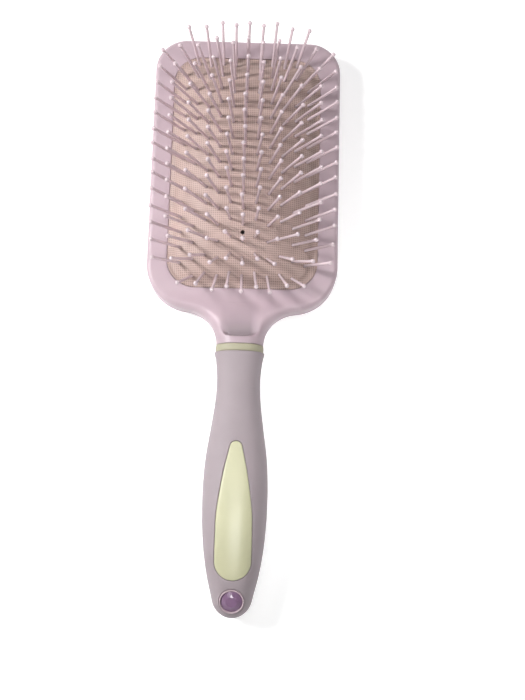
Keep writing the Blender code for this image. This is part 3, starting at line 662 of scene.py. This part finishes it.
def pin_places(column):
    """Where the pins of a column stand, from the pad's centre: the same x, and evenly spaced in y."""
    count = PINS_PER_COLUMN[abs(column) % 2]
    span = COLUMN_HALF_SPAN[abs(column)]
    return [(column * COLUMN_PITCH, span - 2 * span * i / (count - 1)) for i in range(count)]


def vent_place():
    """The vent lies on the middle column, between its twelfth and thirteenth pins."""
    (x, above), (_, below) = pin_places(0)[11:13]
    return x, (above + below) / 2


def square_ring(point, direction, radius, sides):
    """A ring of points square to a direction."""
    across = Vector((0, 1, 0)).cross(direction).normalized()
    return circle(point, across, direction.cross(across), radius, sides)


def pad(finish):
    """The domed rubber pad: a soft step round its edge, a low collar round each pin hole, and the vent."""
    solid = Solid()
    edge_insets = (-0.00015, 0, 0.0003, 0.0008, PAD_EDGE_RUN)
    step_insets = (0.0020, 0.0026, 0.0029, 0.0032, 0.0035)

    def edge_line(inset):
        shape = (PAD_HALF_WIDTH - inset, PAD_HALF_LENGTH - inset, PAD_CORNER_RADIUS - inset)
        return [p[:2] for p in rounded_rectangle(*shape)]

    def edge_loop(inset, height):
        return solid.loop([(x, y, height(x, y)) for x, y in edge_line(inset)])

    def under_z(x, y):
        return pad_z(x, y) - PAD_THICKNESS

    edges = [edge_loop(inset, pad_z) for inset in edge_insets]
    solid.bridge(*edges)
    under_edge = edge_loop(edge_insets[-1], under_z)
    holes = [(*vent_place(), Vector((0, 0, 1)), VENT_RADIUS, VENT_COLLAR)]
    for column in COLUMNS:
        for x, y in pin_places(column):
            holes.append((x, y, pin_direction(column, x, y), PIN_HOLE_RADIUS, PIN_COLLAR))
    tops, bottoms, centres = [], [], []
    for x, y, direction, radius, collar in holes:
        point = pad_point(x, y)
        rings = []
        for grow, lift in (*collar, (collar[-1][0], -PAD_THICKNESS)):
            ring = square_ring(point, direction, radius + grow, PAD_SIDES)
            rings.append(solid.loop([(p.x, p.y, pad_z(p.x, p.y) + lift) for p in ring]))
        solid.bridge(*rings)
        tops.append(rings[0])
        bottoms.append(rings[-1])
        centres.append((point.x, point.y, radius + collar[0][0]))

    def clear(x, y):
        near = [(cx, cy, r + PAD_PITCH / 3) for cx, cy, r in centres if abs(y - cy) < 3 * PAD_PITCH]
        return all(math.hypot(x - cx, y - cy) > r for cx, cy, r in near)

    def within(x, y):
        return pad_gap(x, y) > step_insets[-1] + PAD_PITCH / 2 and clear(x, y)

    low = (-PAD_HALF_WIDTH, PAD_CENTRE_Y - PAD_HALF_LENGTH)
    high = (PAD_HALF_WIDTH, PAD_CENTRE_Y + PAD_HALF_LENGTH)
    step_spots = [spot for inset in step_insets for spot in edge_line(inset) if clear(*spot)]
    solid.fill([edges[-1], *tops], grid(low, high, PAD_PITCH, within) + step_spots, pad_z)
    solid.fill([under_edge, *bottoms], grid(low, high, 2.2 * PAD_PITCH, within), under_z)
    top = [edge_loop(inset, lambda x, y: FLANGE_TOP_Z) for inset in (0, -FLANGE_REACH)]
    bottom = [edge_loop(inset, lambda x, y: FLANGE_BOTTOM_Z) for inset in (-FLANGE_REACH, PAD_THICKNESS)]
    solid.bridge(edges[0], *top, *bottom, under_edge)
    made = piece("pad", solid, finish, None, "pad_rubber", "cushion_pad")
    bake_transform(made)


def pin(solid, point, direction):
    """One pin: a flat head behind the pad, a tapered shaft and a round ball at its end."""
    tip = point + PIN_LENGTH * direction
    foot = point - PIN_HEAD_DEPTH * direction
    profile = [
        (foot - PIN_HEAD_THICKNESS * direction, PIN_HEAD_RADIUS - 0.0001),
        (foot - 0.8 * PIN_HEAD_THICKNESS * direction, PIN_HEAD_RADIUS),
        (foot, PIN_HEAD_RADIUS),
    ]
    profile += [(foot + up * direction, PIN_ROOT_RADIUS + grow) for up, grow in PIN_FOOT]
    start, end = profile[-1][0], tip - BALL_WAIST * BALL_RADIUS * direction
    for share in (0.2, 0.4, 0.6, 0.8, 1):
        radius = PIN_ROOT_RADIUS + (PIN_NECK_RADIUS - PIN_ROOT_RADIUS) * share
        profile.append((start.lerp(end, share), radius))
    for degrees in BALL_TURNS:
        turn = math.radians(degrees)
        profile.append((tip + BALL_RADIUS * math.sin(turn) * direction, BALL_RADIUS * math.cos(turn)))
    rings = [solid.loop(square_ring(at, direction, radius, PIN_SIDES)) for at, radius in profile]
    solid.bridge(*rings)
    solid.faces.append(tuple(rings[0]))
    top = solid.loop([tip + BALL_RADIUS * direction])[0]
    for i in range(PIN_SIDES):
        solid.faces.append((rings[-1][i], rings[-1][(i + 1) % PIN_SIDES], top))


def pins(column, finish, chance):
    """One column of pins."""
    solid = Solid()
    for x, y in pin_places(column):
        stray = Vector((chance.uniform(-1, 1), chance.uniform(-1, 1), 0)) * PIN_WANDER
        pin(solid, pad_point(x, y), (pin_direction(column, x, y) + stray).normalized())
        pad_point(x, y).z
    name = "pin_column_%02d" % (column + 6)
    made = piece("pins_%02d" % (column + 6), solid, finish, None, "pin_nylon", name)
    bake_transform(made)


# The grip


def grip_section(y, shrink=0.0):
    """The middle height, half width and half height of the grip at a place, less a wall."""
    left = max(y - GRIP_END_Y, 0)
    cap = 1.0
    if left < GRIP_END_ROUND:
        cap = math.sqrt(max(1 - (1 - left / GRIP_END_ROUND) ** 2, 0))
    half_width = through(GRIP_HALF_WIDTHS, y) * cap - shrink
    half_height = through(GRIP_HALF_HEIGHTS, y) * cap - shrink
    return through(GRIP_CENTRES, y), half_width, half_height


def oval(y, centre, half_width, half_height, power=SECTION_POWER):
    """A ring of points on a rounded oval across the handle."""
    ring = []
    for i in range(GRIP_SIDES):
        turn = 2 * math.pi * (i + 0.5) / GRIP_SIDES
        c, s = math.cos(turn), math.sin(turn)
        x = math.copysign(abs(c) ** (2 / power), c) * half_width
        z = math.copysign(abs(s) ** (2 / power), s) * half_height
        ring.append((x, y, centre + z))
    return ring


def grip_top(x, y, rise=0.0):
    """The height of the grip's front face."""
    centre, half_width, half_height = grip_section(y)
    share = min(abs(x) / half_width, 1)
    return centre + half_height * (1 - share**SECTION_POWER) ** (1 / SECTION_POWER) + rise


def inlay_outline(grow):
    """The teardrop, from its narrow end round to it again, moved out by grow."""
    tip_middle = INLAY_TIP_Y - INLAY_TIP_RADIUS
    right = arc((0, tip_middle), INLAY_TIP_RADIUS + grow, 90, INLAY_TIP_TURN, 12)
    start, end = INLAY_HALF_WIDTHS[0][0], INLAY_ROUND_Y
    for i in range(1, 44):
        y = start + (end - start) * i / 44
        right.append((through(INLAY_HALF_WIDTHS, y) + grow, y))
    right += arc((0, INLAY_ROUND_Y), INLAY_HALF_WIDTH + grow, 0, -90, 20)
    return right + [(-x, y) for x, y in right[-2:0:-1]]


def stone_ring(radius, height, count=TURNED_SIDES, turn=0.0):
    """A ring about the stone's axis, at a height above the stone's seat."""
    axis = Vector((0, -math.sin(STONE_TILT), math.cos(STONE_TILT)))
    across = Vector((1, 0, 0))
    seat = Vector((0, STONE_Y, grip_top(0, STONE_Y) - STONE_SINK)) + height * axis
    return circle(seat, across, axis.cross(across), radius, count, turn)


def surface_loop(solid, outline, rise):
    """A loop over an outline in plan, at a rise from the grip's front."""
    return solid.loop([(p[0], p[1], grip_top(p[0], p[1], rise)) for p in outline])


def fill_teardrop(solid, loop, margin, pitch, rise):
    """Fills a teardrop at a rise from the grip's front, through a grid a margin in from its edge."""
    room = [Vector(p) for p in inlay_outline(-margin)]
    low, high = (-INLAY_HALF_WIDTH, INLAY_ROUND_Y - INLAY_HALF_WIDTH), (INLAY_HALF_WIDTH, INLAY_TIP_Y)
    spots = grid(low, high, pitch, lambda x, y: inside(room, Vector((x, y))))
    solid.fill([loop], spots, lambda x, y: grip_top(x, y, rise))


def grip(finish):
    """The soft sleeve of the handle, with the inlay's groove and the stone's seat let into its front."""
    solid = Solid()
    count = round((GRIP_START_Y - GRIP_END_Y - GRIP_END_ROUND) / GRIP_STEP)
    even_end = GRIP_END_Y + GRIP_END_ROUND
    stations = [GRIP_START_Y + (even_end - GRIP_START_Y) * i / count for i in range(count + 1)]
    stations += [GRIP_END_Y + left for left, _ in rounding(GRIP_END_ROUND, *range(6, 79, 6))]
    stations[0] -= SLEEVE_LIP
    rings = [solid.loop(oval(y, *grip_section(y))) for y in stations]
    first, last = GRIP_FRONT_SIDES[0], GRIP_FRONT_SIDES[-1]
    back = list(range(last, GRIP_SIDES)) + list(range(first + 1))
    for one, other in zip(rings, rings[1:]):
        solid.bridge([one[i] for i in back], [other[i] for i in back], closed=False)

    tip_stations = [GRIP_END_Y + left for left, _ in rounding(GRIP_END_ROUND, 82, 86, 88.5)]
    tip = [solid.loop(oval(y, *grip_section(y))) for y in tip_stations]
    solid.bridge(rings[-1], *tip)
    pole = solid.loop([(0, GRIP_END_Y, grip_section(GRIP_END_Y)[0])])[0]
    for i in range(GRIP_SIDES):
        solid.faces.append((tip[-1][i], tip[-1][(i + 1) % GRIP_SIDES], pole))

    bore_end = CORE_END_Y - GAP
    bore_places = [GRIP_START_Y + (bore_end - GRIP_START_Y) * i / 24 for i in range(25)]
    bore = [solid.loop(oval(y, *grip_section(y, SLEEVE_THICKNESS))) for y in reversed(bore_places)]
    lip = []
    for depth, shrink in ((0, SLEEVE_LIP), (0.3 * SLEEVE_LIP, 0.3 * SLEEVE_LIP)):
        y = GRIP_START_Y - depth
        lip.append(solid.loop(oval(y, *grip_section(y, shrink))))
    solid.bridge(*bore, *lip, rings[0])
    solid.faces.append(tuple(bore[0]))

    groove = [surface_loop(solid, inlay_outline(grow), -sink) for grow, sink in SEAT_LIP]
    groove += [surface_loop(solid, inlay_outline(SEAT_GAP), -sink) for sink in (0.0005, INLAY_DEPTH + GAP)]
    solid.bridge(*groove)
    fill_teardrop(solid, groove[-1], GROOVE_MARGIN, GROOVE_PITCH, -INLAY_DEPTH - GAP)

    seat = [surface_loop(solid, stone_ring(BEZEL_RADIUS + grow, 0), -sink) for grow, sink in SEAT_LIP]
    seat.append(solid.loop(stone_ring(BEZEL_RADIUS + SEAT_GAP, -BEZEL_DEPTH - GAP)))
    solid.bridge(*seat)
    solid.faces.append(tuple(seat[-1]))

    border = [ring[first] for ring in rings] + rings[-1][first + 1 : last + 1]
    border += [ring[last] for ring in rings[-2::-1]] + rings[0][last - 1 : first : -1]
    taken = [Vector(p) for p in inlay_outline(SEAT_MARGIN)]
    spots = []
    for ring in rings[1:-1]:
        for i in GRIP_FRONT_SIDES[1:-1]:
            place = solid.points[ring[i]].xy
            from_stone = math.hypot(place.x, (place.y - STONE_Y) / math.cos(STONE_TILT))
            if from_stone > BEZEL_RADIUS + SEAT_MARGIN and not inside(taken, place):
                spots.append(tuple(place))
    solid.fill([border, groove[0], seat[0]], spots, grip_top)
    piece("grip", solid, finish, "root", "soft_grip", "grip_sleeve")


def inlay(finish):
    """The teardrop plate, which follows the grip's front and has a rounded edge."""
    solid = Solid()
    loops = [surface_loop(solid, inlay_outline(0), -INLAY_DEPTH)]
    for drop, inset in rounding(INLAY_EDGE, 0, 22, 45, 67, 90):
        loops.append(surface_loop(solid, inlay_outline(-inset), INLAY_RISE - drop))
    solid.bridge(*loops)
    fill_teardrop(solid, loops[-1], INLAY_MARGIN, INLAY_PITCH, INLAY_RISE)
    fill_teardrop(solid, loops[0], INLAY_MARGIN, GROOVE_PITCH, -INLAY_DEPTH)
    piece("inlay", solid, finish, "root", "inlay_plastic", "grip_inlay")


def ring(finish):
    """The crowned ring between the head and the grip, with small round edges and a bore for the tang."""
    solid = Solid()
    middle = (NECK_TOP_Z + NECK_BOTTOM_Z) / 2
    half_height = (NECK_TOP_Z - NECK_BOTTOM_Z) / 2
    length = RING_LENGTH + 2 * RING_SWELL
    start = NECK_END_Y - GAP + RING_SWELL
    edge = [(0, 1), (0.02, 0.5), (0.06, 0.15), (0.12, 0)]
    profile = [*edge, (0.3, 0), (0.5, 0), (0.7, 0), *[(1 - share, inset) for share, inset in reversed(edge)]]
    loops = []
    for share, inset in profile:
        swell = 4 * RING_CROWN * share * (1 - share) - RING_EDGE * inset
        y = start - share * length
        loops.append(solid.loop(oval(y, middle, NECK_HALF_WIDTH + swell, half_height + swell)))
    bore = (TANG_Z, TANG_HALF_WIDTH + GAP, TANG_HALF_HEIGHT + GAP)
    for y in (start - length, start):
        loops.append(solid.loop(oval(y, *bore, power=8)))
    solid.bridge(*loops, loops[0])
    piece("ring", solid, finish, "root", "accent_ring", "neck_ring")


def bezel(finish):
    """The cup that holds the stone, with a rounded rim."""
    solid = Solid()
    cup = STONE_RADIUS + GAP
    wall = BEZEL_RADIUS - cup
    profile = [(cup, BEZEL_FLOOR - BEZEL_DEPTH)]
    profile += [(cup + out, BEZEL_RISE - drop) for drop, out in rounding(wall / 2, *range(0, 181, 30))]
    profile += [(BEZEL_RADIUS, -BEZEL_DEPTH + BEZEL_EDGE), (BEZEL_RADIUS - BEZEL_EDGE, -BEZEL_DEPTH)]
    loops = [solid.loop(stone_ring(radius, height)) for radius, height in profile]
    solid.bridge(*loops)
    solid.faces += [tuple(loops[0]), tuple(loops[-1])]
    piece("bezel", solid, finish, "root", "bezel_plastic", "jewel_bezel")


def stone(finish):
    """A round stone with a table, star, kite and girdle facets above, and a pointed back."""
    solid = Solid()
    girdle = -STONE_CROWN / 2
    top = girdle + STONE_GIRDLE + STONE_CROWN
    radius = STONE_RADIUS + STONE_SWELL
    table_radius, middle_radius, foot_radius = [share * radius for share in STONE_SHARES]
    table = solid.loop(stone_ring(table_radius, top, STONE_FACETS))
    middle = solid.loop(stone_ring(middle_radius, top - STONE_STAR * STONE_CROWN, STONE_FACETS, 0.5))
    around = 2 * STONE_FACETS
    upper = solid.loop(stone_ring(radius, girdle + STONE_GIRDLE, around))
    lower = solid.loop(stone_ring(radius, girdle, around))
    foot = solid.loop(stone_ring(foot_radius, BEZEL_FLOOR - BEZEL_DEPTH + GAP, around))
    solid.faces.append(tuple(table))
    for i in range(STONE_FACETS):
        here, half, after = [upper[(2 * i + k) % around] for k in range(3)]
        solid.faces.append((table[i], table[(i + 1) % STONE_FACETS], middle[i]))
        solid.faces.append((table[i], middle[i], here, middle[i - 1]))
        solid.faces.append((middle[i], here, half))
        solid.faces.append((middle[i], half, after))
    solid.bridge(upper, lower, foot)
    solid.faces.append(tuple(foot))
    made = piece("stone", solid, finish, "root", "purple_stone", "end_jewel")
    made.data.shade_flat()


# Materials


def node(tree, kind, inputs, **settings):
    """The outputs of a new node, whose inputs are set to values or linked to sockets."""
    made = tree.nodes.new("ShaderNode" + kind)
    for name, value in settings.items():
        setattr(made, name, value)
    for key, value in inputs.items():
        if isinstance(value, bpy.types.NodeSocket):
            tree.links.new(value, made.inputs[key])
        elif value is not None:
            made.inputs[key].default_value = value
    return made.outputs


def set_inputs(shader, **numbers):
    """Sets a shader's own sockets."""
    for socket, number in numbers.items():
        shader.inputs[socket.replace("_", " ")].default_value = number


def graph(name):
    """A new node material, its Principled shader, and its object coordinates."""
    made = bpy.data.materials.new(name)
    made.use_nodes = True
    tree = made.node_tree
    return made, tree, tree.nodes["Principled BSDF"], node(tree, "TexCoord", {})["Object"]


def noise(tree, place, size, detail=3.0):
    """Cloudy noise whose lumps are about size across."""
    return node(tree, "TexNoise", {"Vector": place, "Scale": 1 / size, "Detail": detail})["Fac"]


def spread(tree, value, low, high, start=0.3, end=0.7):
    """A value from start to end, mapped to low to high."""
    inputs = {"Value": value, "From Min": start, "From Max": end, "To Min": low, "To Max": high}
    return node(tree, "MapRange", inputs)["Result"]


def between(tree, share, one, other):
    """A colour between two."""
    inputs = {"Factor": share, "A": (*one, 1), "B": (*other, 1)}
    return node(tree, "Mix", inputs, data_type="RGBA")["Result"]


def bump(tree, height, depth, below=None):
    """A bump whose full height is depth."""
    return node(tree, "Bump", {"Height": height, "Distance": depth, "Normal": below})["Normal"]


def calculate(tree, operation, *values):
    """The result of a sum on sockets and numbers."""
    return node(tree, "Math", dict(enumerate(values)), operation=operation)["Value"]


def scaled(tree, colour, share):
    """A colour times a share."""
    return node(tree, "VectorMath", {0: colour, "Scale": share}, operation="SCALE")["Vector"]


def painted_dish_shade(tree, place):
    """Painted shade: a share of the head's colour, which is less than 1 round the neck, and least low in the
    thumb dish.
    """
    x, y, z = node(tree, "SeparateXYZ", {0: place})
    across = calculate(tree, "DIVIDE", calculate(tree, "ABSOLUTE", x), DISH_HALF_WIDTH)
    below = spread(tree, y, 0, 1, DISH_START_Y, DISH_START_Y - DISH_LENGTH)
    powers = [calculate(tree, "POWER", value, DISH_OVAL) for value in (across, below)]
    out = calculate(tree, "POWER", calculate(tree, "ADD", *powers), 1 / DISH_OVAL)
    edge = spread(tree, calculate(tree, "SUBTRACT", 1, out), 0, 1, 0, 0.5 * DISH_EDGE)
    side = spread(tree, across, 1, 0, 0.45, 0.95)
    down = spread(tree, y, 0, 1, DISH_TOP_Y, DISH_START_Y - 0.8 * DISH_LENGTH)
    front = spread(tree, z, 0, 1, TANG_Z, TANG_Z + 0.001)
    deep = edge
    for share in (side, down, front):
        deep = calculate(tree, "MULTIPLY", deep, share)
    neck = spread(tree, below, 1, NECK_PAINTED_SHADE, 0, 1)
    return calculate(tree, "MULTIPLY", neck, spread(tree, deep, 1, DISH_PAINTED_SHADE, 0, 1))


def moulded(name, colour, roughness, mottle=0.04, grain=0.0004, grain_depth=0.000008, tone=None, **constants):
    """Moulded plastic: faint cloudy colour, uneven gloss and a fine grain, with painted shade where a tone is
    given.
    """
    made, tree, shader, place = graph(name)
    clouds = spread(tree, noise(tree, place, 0.018), 0, 1)
    dark, light = [tuple(c * share for c in colour) for share in (1 - mottle, 1 + mottle)]
    mixed = between(tree, clouds, dark, light)
    # A tone, if any, paints shade into the colour
    if tone:
        mixed = scaled(tree, mixed, tone(tree, place))
    tree.links.new(mixed, shader.inputs["Base Color"])
    wear = spread(tree, noise(tree, place, 0.006, 5.0), roughness - 0.04, roughness + 0.06)
    tree.links.new(wear, shader.inputs["Roughness"])
    waves = bump(tree, noise(tree, place, 0.007, 1.0), 0.00003)
    tree.links.new(bump(tree, noise(tree, place, grain), grain_depth, waves), shader.inputs["Normal"])
    set_inputs(shader, **constants)
    return made


def painted_vent_shade(tree, place):
    """Painted shade: a share of the rubber's colour, next to nothing in the vent's bore, which is in the dark.
    """
    x, y = vent_place()
    flat = node(tree, "VectorMath", {0: place, 1: (1, 1, 0)}, operation="MULTIPLY")["Vector"]
    inputs = {0: flat, 1: (x, PAD_CENTRE_Y + y, 0)}
    out = node(tree, "VectorMath", inputs, operation="DISTANCE")["Value"]
    return spread(tree, out, 0.02, 1, 1.01 * VENT_RADIUS, 1.05 * VENT_RADIUS)


def woven_rubber(colour, roughness):
    """Rubber with a fine square weave pressed into it, and painted shade in the vent's bore."""
    made, tree, shader, place = graph("woven_rubber")
    scale = 2 * math.pi / (20 * WEAVE_PITCH)  # a wave texture's bands are 2 pi / 20 apart at scale 1
    inputs = {"Vector": place, "Scale": scale, "Distortion": 0.3, "Detail": 0.0}
    threads = [node(tree, "TexWave", inputs, wave_type="BANDS", bands_direction=axis)["Fac"] for axis in "XY"]
    weave = calculate(tree, "MAXIMUM", *threads)
    dark, light = [tuple(c * share for c in colour) for share in WEAVE_SHARES]
    threaded = between(tree, spread(tree, weave, 0, 1, 0.35, 0.95), dark, light)
    clouds = spread(tree, noise(tree, place, 0.015), 0.94, 1.04)
    # The vent's bore gets painted shade
    tone = scaled(tree, threaded, calculate(tree, "MULTIPLY", clouds, painted_vent_shade(tree, place)))
    tree.links.new(tone, shader.inputs["Base Color"])
    wear = spread(tree, noise(tree, place, 0.005, 4.0), roughness - 0.05, roughness + 0.08)
    tree.links.new(wear, shader.inputs["Roughness"])
    tree.links.new(bump(tree, weave, 0.00006), shader.inputs["Normal"])
    return made


def added(name, data):
    """A new object in the scene."""
    made = bpy.data.objects.new(name, data)
    bpy.context.scene.collection.objects.link(made)
    return made


def piece(name, solid, finish, body, slot, *nodes):
    """Makes a piece with its finish, which stands for some nodes and hides them; slot is not used. It rides on
    a body, if any.
    """
    mesh = solid.mesh(name)
    mesh.materials.append(finish)
    mesh.shade_smooth()
    mesh.set_sharp_from_angle(angle=math.radians(40))
    made = added(name, mesh)
    if body:
        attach(made, body)
    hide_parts(*nodes)
    return made


def keep_node(name, finish):
    """Gives a CAD node that stays a better material."""
    for material_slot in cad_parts[name].material_slots:
        material_slot.material = finish


# The stage


def place_camera():
    """The camera, above the brush and a little towards the handle."""
    turned = Matrix.Rotation(CAMERA_LEAN, 3, "Z") @ Matrix.Rotation(CAMERA_PITCH, 3, "X")
    back = (turned @ Matrix.Rotation(CAMERA_ROLL, 3, "Y")).transposed()
    data = bpy.data.cameras.new("camera")
    data.lens = CAMERA_LENS
    camera = added("camera", data)
    camera.location = back @ Vector(CAMERA_PLACE)
    camera.rotation_euler = back.to_euler()
    bpy.context.scene.camera = camera


def lamp(name, place, aim, size, power, beam=180):
    """A soft round light whose beam spreads over an angle in degrees."""
    data = bpy.data.lights.new(name, "AREA")
    data.shape = "DISK"
    data.size = size
    data.energy = power
    data.spread = math.radians(beam)
    made = added(name, data)
    made.location = place
    made.rotation_euler = (Vector(place) - Vector(aim)).to_track_quat("Z", "Y").to_euler()
    made.visible_camera = False


def stage():
    """A plain white floor that curves up far away, and soft lights on both sides, above and in front."""
    solid = Solid()
    turns = [2 * math.pi * i / 64 for i in range(64)]
    loops = [solid.loop([(r * math.cos(t), r * math.sin(t), z) for t in turns]) for r, z in FLOOR_PROFILE]
    solid.bridge(*loops)
    solid.faces.append(tuple(loops[0]))
    mesh = solid.mesh("floor")
    mesh.shade_smooth()
    white = bpy.data.materials.new("floor_white")
    white.use_nodes = True
    shader = white.node_tree.nodes["Principled BSDF"]
    set_inputs(shader, Base_Color=(FLOOR_WHITE, FLOOR_WHITE, FLOOR_WHITE, 1), Roughness=0.9)
    set_inputs(shader, Emission_Color=(1, 1, 1, 1), Emission_Strength=FLOOR_GLOW)
    mesh.materials.append(white)
    floor = added("floor", mesh)
    world = bpy.data.worlds.new("surround")
    world.use_nodes = True
    set_inputs(world.node_tree.nodes["Background"], Color=(1, 1, 1, 1), Strength=WORLD_STRENGTH)
    bpy.context.scene.world = world
    bpy.context.scene.view_settings.view_transform = "Standard"
    middle = (0, 0.04, 0)
    lamp("key", (-0.45, 0.11, 0.46), middle, 0.13, KEY_POWER)
    lamp("second", (0.20, 0.12, 0.50), middle, 0.10, SECOND_POWER)
    lamp("overhead", (-0.20, 0.10, 1.20), middle, 0.55, OVERHEAD_POWER)
    lamp("front", (0.03, -0.12, 0.45), (0.01, -0.035, 0.01), 0.10, FRONT_POWER, beam=34)


def build():
    """All the pieces, and the finishes of the nodes that stay."""
    # The lilac carries painted shade in the thumb dish and round the neck
    lilac = moulded("lilac_plastic", LILAC, 0.42, tone=painted_dish_shade)
    head_front(lilac)
    head_back(lilac)
    pad(woven_rubber(RUBBER, 0.55))
    nylon = moulded("clear_nylon", NYLON, 0.14, mottle=0.02, Transmission_Weight=0.4, IOR=1.45)
    chance = random.Random(PIN_SEED)
    for column in COLUMNS:
        pins(column, nylon, chance)
    ring(moulded("ring_plastic", RING_GREEN, 0.55))
    grip(moulded("soft_touch", SOFT_GRIP, 0.62, grain=0.0002, grain_depth=0.00001, Sheen_Weight=0.05))
    inlay(moulded("inlay_plastic", YELLOW_GREEN, 0.34))
    bezel(moulded("bezel_plastic", LILAC, 0.22))
    acrylic = {"Transmission_Weight": 0.5, "IOR": 1.49}
    stone(moulded("purple_acrylic", PURPLE, 0.06, mottle=0.3, grain_depth=0.0, **acrylic))
    keep_node("handle_core", moulded("core_plastic", CORE_GREY, 0.5))
    keep_node("pad_frame", moulded("frame_plastic", FRAME_GREY, 0.45))


place_camera()
stage()
build()
